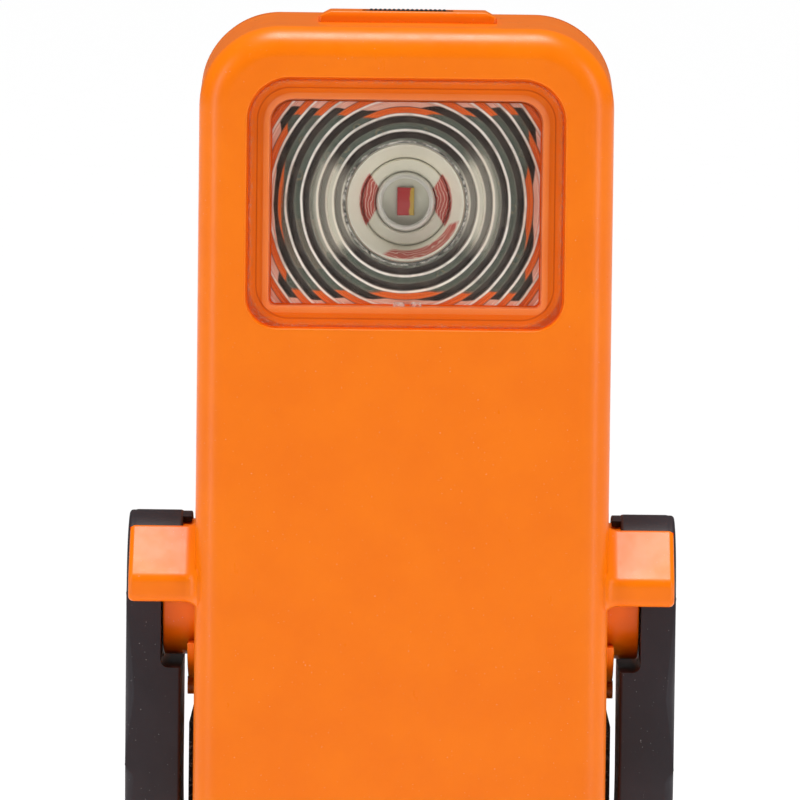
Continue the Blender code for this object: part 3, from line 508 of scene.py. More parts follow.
def add_rod(bm, radius, axis, at, start, end, segments=48):
    turn = {"X": Matrix.Rotation(math.pi / 2, 4, "Y"), "Y": Matrix.Rotation(math.pi / 2, 4, "X"),
            "Z": Matrix.Identity(4)}[axis]
    centre = Matrix.Translation(spot(axis, *at, (start + end) / 2))
    bmesh.ops.create_cone(bm, cap_ends=True, cap_tris=False, segments=segments, radius1=radius,
                          radius2=radius, depth=abs(end - start), matrix=centre @ turn)


def add_turned(bm, profile, towards, at, segments=64):
    """Turn (radius, height) points about an axis; a profile that starts off the axis is a closed ring."""
    turn = {"+X": Matrix.Rotation(math.pi / 2, 4, "Y"), "-X": Matrix.Rotation(-math.pi / 2, 4, "Y"),
            "+Y": Matrix.Rotation(-math.pi / 2, 4, "X"), "-Y": Matrix.Rotation(math.pi / 2, 4, "X"),
            "+Z": Matrix.Identity(4)}[towards]
    place = Matrix.Translation(at) @ turn
    closed = profile[0][0] > 0
    verts = [bm.verts.new(place @ Vector((r, 0, h))) for r, h in profile]
    edges = [bm.edges.new(pair) for pair in zip(verts, verts[1:])]
    if closed:
        edges.append(bm.edges.new((verts[-1], verts[0])))
    axis = (turn @ Vector((0, 0, 1))).normalized()
    bmesh.ops.spin(bm, geom=verts + edges, cent=at, axis=axis, angle=math.tau, steps=segments)
    bmesh.ops.remove_doubles(bm, verts=bm.verts, dist=1e-6)


def soften(bm, edges, width, steps=4):
    bmesh.ops.bevel(bm, geom=edges, offset=width, offset_type="OFFSET", segments=steps, profile=0.5,
                    affect="EDGES")


def edges_where(bm, test):
    return [edge for edge in bm.edges if all(test(vert.co) for vert in edge.verts)]


def face_outwards(bm):
    """Turn the faces of every separate closed body outwards."""
    bmesh.ops.recalc_face_normals(bm, faces=bm.faces)
    left = set(bm.faces)
    while left:
        body = [left.pop()]
        for face in body:
            for edge in face.edges:
                for near in edge.link_faces:
                    if near in left:
                        left.discard(near)
                        body.append(near)
        volume = 0.0
        for face in body:
            first = face.verts[0].co
            for a, b in zip(face.verts[1:], face.verts[2:]):
                volume += first.dot(a.co.cross(b.co))
        if volume < 0:
            bmesh.ops.reverse_faces(bm, faces=body)


def make_object(name, bm, material=None, sharp=40):
    face_outwards(bm)
    mesh = bpy.data.meshes.new(name)
    bm.to_mesh(mesh)
    bm.free()
    made = bpy.data.objects.new(name, mesh)
    bpy.context.scene.collection.objects.link(made)
    if material:
        mesh.materials.append(material)
    mesh.shade_smooth()
    mesh.set_sharp_from_angle(angle=math.radians(sharp))
    return made


def combine(target, operation, bm):
    """Union with, or cut by, a helper solid, and keep only the result."""
    helper = make_object("helper", bm)
    step = target.modifiers.new("combine", "BOOLEAN")
    step.operation = operation
    step.solver = "MANIFOLD"
    step.object = helper
    settle(target)
    bpy.data.objects.remove(helper, do_unlink=True)


def settle(target, sharp=40):
    """Turn an object's modifiers into its own mesh."""
    graph = bpy.context.evaluated_depsgraph_get()
    materials = list(target.data.materials)
    mesh = bpy.data.meshes.new_from_object(target.evaluated_get(graph))
    target.modifiers.clear()
    target.data = mesh
    mesh.materials.clear()
    for material in materials:
        mesh.materials.append(material)
    mesh.shade_smooth()
    mesh.set_sharp_from_angle(angle=math.radians(sharp))


def keep_flat(target):
    """Keep the large faces flat in the shading, beside their rounded edges."""
    flatten = target.modifiers.new("flat", "WEIGHTED_NORMAL")
    flatten.keep_sharp = True


def turned_piece(name, profile, towards, at, material, body, slot_name, *replaced, segments=64):
    bm = bmesh.new()
    add_turned(bm, profile, towards, at, segments)
    return finish_piece(make_object(name, bm, material), body, slot_name, *replaced)


def finish_piece(piece, body, slot_name, *replaced):
    """Attach a piece to the body that it rides and hide the CAD nodes that it replaces; slot_name is not used."""
    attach(piece, body)
    if replaced:
        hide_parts(*replaced)
    return piece


def tub(name, outline, face_y, open_y, fillet, spread, material, steps=10):
    """A shell with one closed face, a round edge about it, and walls that open towards open_y."""
    bm = bmesh.new()
    face = bm.faces.new([bm.verts.new((x, face_y, z)) for x, z in outline])
    for item in bmesh.ops.extrude_edge_only(bm, edges=list(face.edges))["geom"]:
        if isinstance(item, bmesh.types.BMVert):
            item.co.y = open_y
            item.co.x *= spread[0]
            item.co.z = BASE_Z + (item.co.z - BASE_Z) * spread[1]
    bmesh.ops.recalc_face_normals(bm, faces=bm.faces)
    soften(bm, list(face.edges), fillet, steps)
    bmesh.ops.recalc_face_normals(bm, faces=bm.faces)
    outward = math.copysign(1, face_y - open_y)
    biggest = max(bm.faces, key=lambda f: f.calc_area() * (abs(f.normal.y) > 0.9))
    if biggest.normal.y * outward < 0:
        bmesh.ops.reverse_faces(bm, faces=bm.faces)
    mesh = bpy.data.meshes.new(name)
    bm.to_mesh(mesh)
    bm.free()
    made = bpy.data.objects.new(name, mesh)
    bpy.context.scene.collection.objects.link(made)
    mesh.materials.append(material)
    shell = made.modifiers.new("wall", "SOLIDIFY")
    shell.thickness = WALL
    shell.offset = -1.0
    shell.use_even_offset = True
    settle(made)
    return made


# ---------------------------------------------------------------- outlines and solids


def add_loft(bm, sections):
    """Skin a row of outlines that all have the same number of points, and close both ends."""
    rings = [[bm.verts.new(point) for point in section] for section in sections]
    for near, far in zip(rings, rings[1:]):
        for i in range(len(near)):
            j = (i + 1) % len(near)
            bm.faces.new((near[i], near[j], far[j], far[i]))
    bm.faces.new(rings[0])
    bm.faces.new(rings[-1])


def add_steps(bm, axis, outline, levels):
    """Skin an outline that grows or shrinks along an axis: levels are (place, growth) pairs."""
    add_loft(bm, [[spot(axis, u, v, w) for u, v in outline(grow)] for w, grow in levels])


def widen(points, distance):
    """Move every side of an outline outwards by a distance, with its corners kept."""
    count = len(points)
    area = sum(points[i - 1][0] * points[i][1] - points[i][0] * points[i - 1][1] for i in range(count))
    turn = math.copysign(1, area)
    moved = []
    for i in range(count):
        here = Vector(points[i])
        before = (here - Vector(points[i - 1])).normalized()
        after = (Vector(points[(i + 1) % count]) - here).normalized()
        normal_a = Vector((before.y, -before.x)) * turn
        normal_b = Vector((after.y, -after.x)) * turn
        shift = (normal_a + normal_b) / (1 + normal_a.dot(normal_b))
        moved.append(tuple(here + shift * distance))
    return moved


def round_corners(points, cut, steps=4):
    """Replace every corner of an outline by a small curve that starts `cut` away from it."""
    out = []
    for i, point in enumerate(points):
        here = Vector(point)
        start = here + (Vector(points[i - 1]) - here).normalized() * cut
        end = here + (Vector(points[(i + 1) % len(points)]) - here).normalized() * cut
        for k in range(steps + 1):
            t = k / steps
            out.append(tuple(start * (1 - t) ** 2 + here * 2 * t * (1 - t) + end * t * t))
    return out


def hexagon(across_flats, centre=(0.0, 0.0)):
    return arc(*centre, across_flats / math.sqrt(3), 0, 300, 5)


# ---------------------------------------------------------------- housing

SIDES = ((-1, "-X"), (1, "+X"))
ORANGE = MATERIALS["orange_plastic"]
BLACK = MATERIALS["black_plastic"]
CASE_SCREWS = ((0.0318, 0.1819), (0.0342, 0.0620))
COVER_SCREWS = ((0.0342, 0.0455), (0.0342, 0.0092))
OPTIC_SCREW_X = 0.0325
TUBE_END_Y = -0.0160
PLATEAU_HALF = 0.0154
BUTTON_INSET = 0.0017  # from the edge of the flange below to the button's side
CONTACT_PLACE = (0.0120, -0.0080)


def guard_sections(side):
    """Outlines of a hub guard from inside the housing wall to its rounded outer end."""
    corners = [(-0.0167, 0.0914), (-0.0178, 0.0914), (-0.0270, 0.0822), (-0.0270, 0.0773), (-0.0167, 0.0773)]
    outline = []
    for corner, cut in zip(range(5), (0.0003, 0.0004, 0.0011, 0.0017, 0.0003)):
        outline += round_corners(corners[corner - 1:] + corners[:corner - 1], cut, 5)[6:12]
    flare = ((0.0378, 0.0017), (0.0396, 0.0015), (0.0400, 0.0009), (0.0404, 0.00055), (0.0410, 0.00022),
             (0.0418, 0.00003), (0.0424, 0.0))
    sections = [(x, grow) for x, grow in flare]
    end_round = 0.0010
    for i in range(7):
        turn = math.pi / 2 * i / 6
        shrink = end_round * (math.cos(turn) - 1)
        sections.append((GUARD_END_X - end_round + end_round * math.sin(turn), shrink))
    return [[(side * x, y, z) for y, z in widen(outline, grow)] for x, grow in sections]


def chamfered_rod(radius, start, end, chamfer):
    return [(0, start), (radius, start), (radius, end - chamfer),
            (radius - chamfer * 0.3, end - chamfer * 0.3), (radius - chamfer, end), (0, end)]


def stop_lug_outline():
    """Side view (y, z) of the fixed stop: the part of a disc that lies below a level line."""
    reach = math.degrees(math.asin(LUG_DROP / LUG_RADIUS))
    return arc(0.0, PIVOT_Z, LUG_RADIUS, 180 + reach, 360 - reach, 48)


def centred_rect(half_x, half_z, r_low, r_high, steps=14):
    """Outline of a rectangle about the lens axis."""
    return rounded_rect(half_x, LENS_Z - half_z, LENS_Z + half_z, r_low, r_high, steps)


def window_outline(grow, r_low, r_high, steps=14):
    return centred_rect(OPENING_HALF[0] + grow, OPENING_HALF[1] + grow, r_low, r_high, steps)


def build_front_shell():
    outline = rounded_rect(HALF_WIDTH, BASE_Z, FACE_TOP_Z, BOTTOM_RADIUS, TOP_RADIUS, 24)
    spread = (REAR_HALF_WIDTH / HALF_WIDTH, (TOP_Z - BASE_Z) / (FACE_TOP_Z - BASE_Z))
    shell = tub("housing_front", outline, FACE_Y, PART_Y, FACE_FILLET, spread, ORANGE, 10)

    bm = bmesh.new()
    pad_x = WINDOW_HALF_X + 0.0020
    pad_z = WINDOW_HALF_Z + 0.0020
    add_prism(bm, centred_rect(pad_x, pad_z, 0.004, 0.006, 6), "Y", FACE_Y + 0.0015, FACE_Y + 0.0055)
    levels = ((0.1884, 0.0174, -0.0119, 0.0163), (TOP_Z - 0.0001, 0.0174, -0.0119, 0.0163),
              (PLATEAU_Z - 0.00025, PLATEAU_HALF + 0.0004, -0.0116, 0.0160),
              (PLATEAU_Z - 0.00005, PLATEAU_HALF + 0.00005, -0.0113, 0.0157),
              (PLATEAU_Z, PLATEAU_HALF - 0.0003, -0.0110, 0.0154))
    add_loft(bm, [[(x, y, z) for x, y in round_corners([(h, a), (h, b), (-h, b), (-h, a)], 0.0008)]
                  for z, h, a, b in levels])
    for side, towards in SIDES:
        add_turned(bm, chamfered_rod(BOSS_RADIUS, 0.0385, BOSS_END_X, 0.0005), towards, (0, 0, PIVOT_Z), 96)
        for x, z in CASE_SCREWS + COVER_SCREWS:
            add_rod(bm, 0.0046, "Y", (side * x, z), 0.0040, 0.0169, 24)
    combine(shell, "UNION", bm)

    bm = bmesh.new()
    add_prism(bm, window_outline(0.0022, 0.003, 0.006, 6), "Y", FACE_Y + 0.0040, TUBE_END_Y)
    combine(shell, "UNION", bm)

    levels = ((0.0392, 0.0), (LUG_END_X - 0.0004, 0.0), (LUG_END_X - 0.0001, -0.0001), (LUG_END_X, -0.0004))
    for side in (-1, 1):
        bm = bmesh.new()
        add_steps(bm, "X", lambda grow: widen(stop_lug_outline(), grow), [(side * x, g) for x, g in levels])
        combine(shell, "UNION", bm)
        bm = bmesh.new()
        add_rod(bm, 0.0032, "Y", (side * OPTIC_SCREW_X, LENS_Z), FACE_Y + 0.0018, -0.0170, 24)
        combine(shell, "UNION", bm)

    bm = bmesh.new()
    for side in (-1, 1):
        add_loft(bm, guard_sections(side))
        add_rod(bm, 0.0018, "X", (0.0, PIVOT_Z - 0.0196), side * 0.0390, side * 0.0420, 24)
        add_rod(bm, 0.0078, "X", (0.0, PIVOT_Z), side * 0.0395, side * 0.0310, 32)
    combine(shell, "UNION", bm)

    bm = bmesh.new()
    reach_x = WINDOW_HALF_X + CLEARANCE
    reach_z = WINDOW_HALF_Z + CLEARANCE
    levels = ((FACE_Y - 0.0010, 0.0014), (FACE_Y - 0.0001, 0.0005), (FACE_Y + 0.0002, 0.0001),
              (FACE_Y + 0.0005, 0.0), (WINDOW_BACK_Y + CLEARANCE, 0.0))
    add_steps(bm, "Y", lambda g: centred_rect(reach_x + g, reach_z + g, 0.0060 + g, 0.0083 + g, 14), levels)
    low, high = BUTTON_BOX
    half_x = GASKET_BOX[1][0] - BUTTON_INSET - 0.00015 + CLEARANCE
    low_y, high_y = low[1] + BUTTON_INSET - CLEARANCE, high[1] - BUTTON_INSET + CLEARANCE
    corners = [(half_x, low_y), (half_x, high_y), (-half_x, high_y), (-half_x, low_y)]
    add_prism(bm, round_corners(corners, 0.0006), "Z", 0.1850, 0.1940)
    for side in (-1, 1):
        add_rod(bm, 0.0027, "X", (0.0, PIVOT_Z), side * 0.0325, side * 0.0490, 32)
        add_rod(bm, 0.0026, "Z", (side * CONTACT_PLACE[0], CONTACT_PLACE[1]), 0.0, 0.0060, 32)
        add_rod(bm, 0.0014, "Y", (side * OPTIC_SCREW_X, LENS_Z), -0.0270, -0.0160, 16)
        for x, z in CASE_SCREWS + COVER_SCREWS:
            add_rod(bm, 0.0018, "Y", (side * x, z), 0.0060, 0.0180, 16)
    combine(shell, "DIFFERENCE", bm)

    bm = bmesh.new()
    levels = ((FACE_Y - 0.0010, 0.0010), (WINDOW_BACK_Y + CLEARANCE, 0.0008),
              (WINDOW_BACK_Y + 0.0006, 0.0006), (WINDOW_BACK_Y + 0.0011, 0.0001),
              (WINDOW_BACK_Y + 0.0016, 0.0), (LENS_BACK_Y + 0.0005, 0.0))
    add_steps(bm, "Y", lambda g: window_outline(g, 0.0012 + g, 0.0045 + g), levels)
    combine(shell, "DIFFERENCE", bm)
    bm = bmesh.new()
    levels = ((LENS_BACK_Y - 0.0005, -0.0014), (LENS_BACK_Y + 0.0005, -0.0014),
              (TUBE_END_Y + 0.0020, -0.0028))
    add_steps(bm, "Y", lambda g: window_outline(g, 0.0006, 0.0030), levels)
    combine(shell, "DIFFERENCE", bm)
    keep_flat(shell)
    return finish_piece(shell, "lamp", "orange_plastic", "front_shell")


def add_screw_sleeves(shell, places, back_y):
    bm = bmesh.new()
    for side in (-1, 1):
        for x, z in places:
            add_rod(bm, 0.0034, "Y", (side * x, z), PART_Y + 0.0013, back_y - 0.0015, 24)
    combine(shell, "UNION", bm)
    bm = bmesh.new()
    for side in (-1, 1):
        for x, z in places:
            add_rod(bm, 0.0018, "Y", (side * x, z), PART_Y - 0.0010, back_y - 0.0026, 24)
    combine(shell, "DIFFERENCE", bm)
    bm = bmesh.new()
    seat = [(0, -0.0030), (0.0030, -0.0030), (0.0030, -0.0004), (0.0034, 0.0), (0.0034, 0.0010), (0, 0.0010)]
    for side in (-1, 1):
        for x, z in places:
            add_turned(bm, seat, "+Y", (side * x, back_y, z), 40)
    combine(shell, "DIFFERENCE", bm)


def cut_slots(shell, back_y, half_x, height, radius, lows, steps):
    """Cut a row of round-ended slots, 1 mm deep with eased edges, into a back face."""
    bm = bmesh.new()
    levels = ((back_y - 0.0010, 0.0), (back_y - 0.0003, 0.0), (back_y, 0.0003), (back_y + 0.0010, 0.0003))
    for low in lows:
        add_steps(bm, "Y", lambda g: [(x, z + low) for x, z in rounded_rect(
            half_x + g, -g, height + g, radius + g, radius + g, steps)], levels)
    combine(shell, "DIFFERENCE", bm)


def build_rear_shell():
    half = REAR_HALF_WIDTH
    outline = arc(half - TOP_RADIUS, TOP_Z - TOP_RADIUS, TOP_RADIUS, 0, 90, 24)
    outline += arc(TOP_RADIUS - half, TOP_Z - TOP_RADIUS, TOP_RADIUS, 90, 180, 24)
    outline += [(-half, REAR_BOX[0][2]), (half, REAR_BOX[0][2])]
    shell = tub("housing_rear", outline, REAR_BOX[1][1], PART_Y + CLEARANCE, BACK_FILLET, (1.0, 1.0),
                ORANGE, 8)
    back = REAR_BOX[1][1]
    cut_slots(shell, back, 0.0240, 0.0035, 0.0016, [0.0960 + 0.0085 * i for i in range(5)], 8)
    add_screw_sleeves(shell, CASE_SCREWS, back)
    keep_flat(shell)
    return finish_piece(shell, "lamp", "orange_plastic", "rear_shell")


def build_battery_cover():
    low_z = COVER_BOX[0][2]
    half, back, high_z = COVER_BOX[1]
    corner = BOTTOM_RADIUS + 0.0003
    shoulder_z = high_z - 0.0058
    outline = [(half, shoulder_z), (half - 0.0014, high_z), (0.0014 - half, high_z), (-half, shoulder_z)]
    outline += arc(corner - half, low_z + corner, corner, 180, 270, 18)
    outline += arc(half - corner, low_z + corner, corner, 270, 360, 18)
    cover = tub("battery_door", outline, back, PART_Y + CLEARANCE, BACK_FILLET, (1.0, 1.0),
                MATERIALS["textured_dark_plastic"], 8)
    # a finger grip of four slots
    cut_slots(cover, back, 0.0110, 0.0028, 0.0012, [0.0205 + 0.0050 * i for i in range(4)], 6)
    add_screw_sleeves(cover, COVER_SCREWS, back)
    keep_flat(cover)
    return finish_piece(cover, "lamp", "textured_dark_plastic", "battery_cover")


def build_base_pad():
    high = PAD_BOX[1][2]
    half_x = PAD_BOX[1][0]
    middle = (PAD_BOX[0][1] + PAD_BOX[1][1]) / 2
    half_y = PAD_BOX[1][1] - middle
    bm = bmesh.new()
    levels = ((0.0, -0.0003), (0.0001, -0.00012), (0.0003, 0.0), (high, 0.0))
    add_steps(bm, "Z", lambda g: [(x, y + middle) for x, y in rounded_rect(
        half_x + g, -half_y - g, half_y + g, 0.006, 0.006, 12)], levels)
    pad = make_object("base_rest_pad", bm, MATERIALS["black_rubber"])
    bm = bmesh.new()
    for side in (-1, 1):
        add_rod(bm, 0.0042, "Z", (side * CONTACT_PLACE[0], CONTACT_PLACE[1]), -0.0010, 0.0020, 40)
    for i in range(6):
        x = 0.0215 + 0.0022 * (i % 3)
        side = -1 if i < 3 else 1
        add_box(bm, (side * x - 0.0004, middle - half_y + 0.004, -0.001),
                (side * x + 0.0004, middle + half_y - 0.004, 0.0004))
    combine(pad, "DIFFERENCE", bm)
    return finish_piece(pad, "lamp", "black_rubber", "base_pad")


# ---------------------------------------------------------------- optics


def build_window():
    levels = ((FACE_Y, -0.00035), (FACE_Y + 0.00010, -0.00012), (FACE_Y + 0.00030, 0.0), (WINDOW_BACK_Y, 0.0))
    bm = bmesh.new()
    add_steps(bm, "Y", lambda g: centred_rect(
        WINDOW_HALF_X + g, WINDOW_HALF_Z + g, 0.0057 + g, 0.0080 + g, 16), levels)
    window = make_object("window_plate", bm, MATERIALS["clear_plastic"])
    keep_flat(window)
    return finish_piece(window, "lamp", "clear_plastic", "window_cover")


def build_opening_lip():
    """The frame round the opening, under the edge of the window, in a paler orange that is a painted highlight."""
    bm = bmesh.new()
    front, back = WINDOW_BACK_Y + 0.0001, LENS_FRONT_Y - 0.0002
    add_prism(bm, window_outline(0.0013, 0.0025, 0.0058), "Y", front, back)
    lip = make_object("opening_lip", bm, LIP_PAINTED_HIGHLIGHT)
    bm = bmesh.new()
    levels = ((front - 0.0010, 0.0002), (front + 0.0002, 0.0001), (front + 0.0006, 0.0),
              (back + 0.0010, -0.0002))
    add_steps(bm, "Y", lambda g: window_outline(g, 0.0012 + g, 0.0045 + g), levels)
    combine(lip, "DIFFERENCE", bm)
    keep_flat(lip)
    return finish_piece(lip, "lamp", "orange_plastic")


def build_ring_lens():
    """A plate with saw-toothed rings on its front, cut to the opening's outline."""
    front, back = LENS_FRONT_Y, LENS_BACK_Y
    core_sag = 0.0003
    reach = 0.0350  # past the corners of the opening
    profile = [(0, -back), (reach, -back)]
    rings = []
    radius = CORE_RADIUS
    while radius < reach:
        rings.append((radius, -front - RING_HEIGHT))
        rings.append((radius + 0.0002, -front - 0.00002))
        radius += RING_PITCH / 2
    rings.append((reach, -front - RING_HEIGHT))
    profile += list(reversed(rings))
    profile += [(CORE_RADIUS * share, -front - RING_HEIGHT + core_sag * (1 - share * share))
                for share in (0.8, 0.6, 0.4, 0.2)]
    profile.append((0, -front - RING_HEIGHT + core_sag))
    bm = bmesh.new()
    add_turned(bm, profile, "-Y", (0, 0, LENS_Z), 160)
    lens = make_object("prism_ring_lens", bm, RING_PLASTIC)
    bm = bmesh.new()
    add_prism(bm, window_outline(-0.0004, 0.0010, 0.0042), "Y", front - 0.0010, back + 0.0010)
    combine(lens, "INTERSECT", bm)
    return finish_piece(lens, "lamp", "clear_plastic", "ring_lens")


def build_clips():
    """Two small clear tabs that hold the ring lens under the middle of its lower edge."""
    made = []
    low_z = LENS_Z - OPENING_HALF[1]
    for i, (left, right) in enumerate(((-0.0023, 0.0001), (0.0011, 0.0033))):
        bm = bmesh.new()
        low, high = low_z - 0.0001, low_z + 0.0009
        corners = round_corners([(left, low), (right, low), (right - 0.0002, high), (left + 0.0002, high)],
                                0.00025, 3)
        add_prism(bm, corners, "Y", LENS_FRONT_Y - 0.0012, LENS_FRONT_Y - 0.0001)
        tab = make_object("lens_tab_" + str(i + 1), bm, CLEAR_MOULDING)
        made.append(finish_piece(tab, "lamp", "clear_plastic"))
    return made


def build_light_source():
    place = (0, 0, LENS_Z)
    dish = [(0.0116, 0.0240), (0.0113, 0.0243), (0.0110, 0.0240), (0.0106, 0.0229), (0.0100, 0.0213),
            (0.0092, 0.0194), (0.0087, 0.0184), (0.0085, 0.0170), (0.0055, 0.0170), (0.0055, 0.0160),
            (0.0093, 0.0160), (0.0098, 0.0170)]
    turned_piece("light_dish", dish, "-Y", place, DISH_ENAMEL, "lamp", "white_plastic", "reflector_dish",
                 segments=96)
    ring = [(0.0084, 0.0179), (0.0081, 0.0182), (0.0063, 0.0182), (0.0060, 0.0179), (0.0060, 0.0174),
            (0.0084, 0.0174)]
    turned_piece("silicone_seal_ring", ring, "-Y", place, DISH_ENAMEL, "lamp", "red_silicone",
                 "led_seal_ring", segments=96)
    dome_base = 0.0182
    dome = [(0.0050 * math.sin(a), dome_base + 0.0008 + 0.0042 * math.cos(a))
            for a in (math.pi / 2 * i / 18 for i in range(19))]
    dome = [(0, dome[0][1])] + dome[1:] + [(0.0050, dome_base), (0, dome_base)]
    turned_piece("silicone_dome", dome, "-Y", place, DOME_SILICONE, "lamp", "clear_plastic", "led_dome",
                 segments=80)
    low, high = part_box("led_die")
    bm = bmesh.new()
    add_box(bm, low, high)
    soften(bm, list(bm.edges), 0.00012, 2)
    finish_piece(make_object("led_chip", bm, DIE), "lamp", "red_silicone", "led_die")
    # a bright rim where the dome meets the dish
    collar = [(0.0057, 0.0182), (0.0054, 0.0190), (0.0050, 0.0192), (0.0042, 0.0190), (0.0040, 0.0184),
              (0.0040, 0.0176), (0.0057, 0.0176)]
    turned_piece("dome_collar", collar, "-Y", place, COLLAR_WHITE, "lamp", "white_plastic", segments=80)


def build_led_board():
    """The board behind the lens, with plated holes and the small parts that show through the rings."""
    low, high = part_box("led_board")
    bm = bmesh.new()
    add_box(bm, low, high)
    board = make_object("led_circuit_board", bm, MATERIALS["green_board"])
    finish_piece(board, "lamp", "green_board", "led_board")
    face = low[1]
    rng = random.Random(11)
    bm = bmesh.new()
    taken = []
    while len(taken) < 34:
        spot_x = rng.uniform(-0.0245, 0.0245)
        spot_z = LENS_Z + rng.uniform(-0.0185, 0.0185)
        from_axis = math.hypot(spot_x, spot_z - LENS_Z)
        if from_axis < 0.0135 or any(math.hypot(spot_x - x, spot_z - z) < 0.0022 for x, z in taken):
            continue
        taken.append((spot_x, spot_z))
        outer = rng.uniform(0.0008, 0.0011)
        ring = [(outer, 0.0), (outer * 0.92, 0.00012), (outer * 0.62, 0.00012), (outer * 0.55, 0.0)]
        add_turned(bm, ring, "-Y", (spot_x, face, spot_z), 24)
    finish_piece(make_object("plated_holes", bm, MATERIALS["brass"]), "lamp", "brass")
    bm = bmesh.new()
    for x, z, wide, tall in ((-0.0215, 0.1490, 0.0022, 0.0012), (-0.0175, 0.1695, 0.0012, 0.0020),
                             (0.0190, 0.1425, 0.0024, 0.0013), (0.0226, 0.1560, 0.0012, 0.0022),
                             (0.0185, 0.1690, 0.0018, 0.0010), (-0.0230, 0.1620, 0.0010, 0.0018),
                             (0.0145, 0.1395, 0.0014, 0.0008), (-0.0110, 0.1395, 0.0014, 0.0008)):
        add_box(bm, (x - wide / 2, face - 0.0007, z - tall / 2), (x + wide / 2, face, z + tall / 2))
    finish_piece(make_object("board_resistors", bm, BLACK), "lamp", "black_plastic")
    bm = bmesh.new()
    add_box(bm, (-0.0238, face - 0.0022, 0.1419), (-0.0153, face, 0.1515))
    soften(bm, list(bm.edges), 0.0003, 2)
    finish_piece(make_object("board_socket", bm, BEIGE), "lamp", "white_plastic")


# ---------------------------------------------------------------- handle


def arm_outline():
    """Side view (y, z) of an arm: hub, straight leg, knee, and the round end about the grip bar."""
    knee_steps = 24
    spine = [(0.0, PIVOT_Z), (0.0, PIVOT_Z - 0.0200), (0.0, KNEE_Z)]
    normals = [(1.0, 0.0)] * 3
    for i in range(1, knee_steps + 1):
        turn = KNEE_ANGLE * i / knee_steps
        spine.append((KNEE_RADIUS * (1 - math.cos(turn)), KNEE_Z - KNEE_RADIUS * math.sin(turn)))
        normals.append((math.cos(turn), math.sin(turn)))
    end = (BAR_Y, BAR_Z)
    spine.append(end)
    normals.append(normals[-1])
    lengths = [0.0]
    for a, b in zip(spine[1:], spine[2:]):
        lengths.append(lengths[-1] + math.dist(a, b))
    taper = BAR_HALF_WIDTH - HUB_RADIUS
    widths = [HUB_RADIUS] + [HUB_RADIUS + taper * run / lengths[-1] for run in lengths]
    rear = [(y + w * ny, z + w * nz) for (y, z), (ny, nz), w in zip(spine, normals, widths)]
    front = [(y - w * ny, z - w * nz) for (y, z), (ny, nz), w in zip(spine, normals, widths)]
    heading = math.degrees(KNEE_ANGLE)
    tip = arc(*end, BAR_HALF_WIDTH, heading, heading - 180, 28)
    hub = arc(0.0, PIVOT_Z, HUB_RADIUS, 180, 0, 48)
    return rear[1:-1] + tip + front[-2:0:-1] + hub


def build_arm(word, side):
    bm = bmesh.new()
    outer_edges = add_prism(bm, arm_outline(), "X", side * ARM_INNER_X, side * ARM_OUTER_X)
    soften(bm, outer_edges, 0.0019, 7)
    soften(bm, edges_where(bm, lambda co: abs(co.x) < ARM_INNER_X + 0.0001), 0.0006, 3)
    arm = make_object("swing_arm_" + word, bm, BLACK)
    bm = bmesh.new()
    hub = [(0, ARM_INNER_X + 0.0002), (HUB_RADIUS - 0.0003, ARM_INNER_X + 0.0002),
           (HUB_RADIUS, ARM_INNER_X + 0.0005)]
    for i in range(6):
        turn = math.pi / 2 * i / 5
        hub.append((HUB_RADIUS - 0.0007 * (1 - math.cos(turn)), ARM_OUTER_X - 0.0007 * (1 - math.sin(turn))))
    hub = [(max(r - 0.0001, 0), h - 0.0001) for r, h in hub]
    add_turned(bm, hub + [(0, ARM_OUTER_X - 0.0001)], "+X" if side > 0 else "-X", (0, 0, PIVOT_Z), 120)
    combine(arm, "UNION", bm)
    bm = bmesh.new()
    pocket = arc(HUB_PLATE_X - POCKET_CORNER, LEDGE_Z + POCKET_CORNER, POCKET_CORNER, 270, 360, 10)
    pocket += [(HUB_PLATE_X, PIVOT_Z + 0.0040), (0.0400, PIVOT_Z + 0.0040), (0.0400, LEDGE_Z)]
    add_prism(bm, [(side * x, z) for x, z in pocket], "Y", -0.0200, 0.0200)
    combine(arm, "DIFFERENCE", bm)
    towards = "+X" if side > 0 else "-X"
    bm = bmesh.new()
    bore = BOSS_RADIUS + 0.0005
    add_turned(bm, [(0, 0.0400), (bore, 0.0400), (bore, HUB_PLATE_X), (0, HUB_PLATE_X)], towards,
               (0, 0, PIVOT_Z), 96)
    combine(arm, "DIFFERENCE", bm)
    bm = bmesh.new()
    add_rod(bm, 0.0043, "X", (0.0, PIVOT_Z), side * 0.0460, side * 0.0512, 40)
    add_turned(bm, [(0.0044, 0.0460), (0.0098, 0.0460), (0.0098, 0.0478), (0.0044, 0.0478)], towards,
               (0, 0, PIVOT_Z), 64)
    add_rod(bm, 0.0018, "X", (BAR_Y, BAR_Z), side * 0.0420, side * 0.0512, 24)
    combine(arm, "DIFFERENCE", bm)
    bm = bmesh.new()
    end = ARM_OUTER_X
    for radius, place in ((0.0073, (0, 0, PIVOT_Z)), (0.0044, (0, BAR_Y, BAR_Z))):
        seat = [(0, 0.05063), (radius, 0.05063), (radius, end - 0.0005), (radius + 0.0007, end + 0.0002),
                (radius + 0.0007, end + 0.001), (0, end + 0.001)]
        add_turned(bm, seat, towards, place, 64)
    combine(arm, "DIFFERENCE", bm)
    bm = bmesh.new()
    inner = TAB_INNER_X
    tab = arc(0.0, PIVOT_Z, TAB_RADII[1], *TAB_ANGLES, 16)
    tab += arc(0.0, PIVOT_Z, TAB_RADII[0], *TAB_ANGLES[::-1], 16)
    add_loft(bm, [[(side * x, y, z) for y, z in widen(tab, grow)] for x, grow in
                  ((inner, -0.0002), (inner + 0.00015, 0.0), (ARM_INNER_X + 0.0015, 0.0))])
    combine(arm, "UNION", bm)
    keep_flat(arm)
    return finish_piece(arm, "handle", "black_plastic", "handle_arm_" + word)


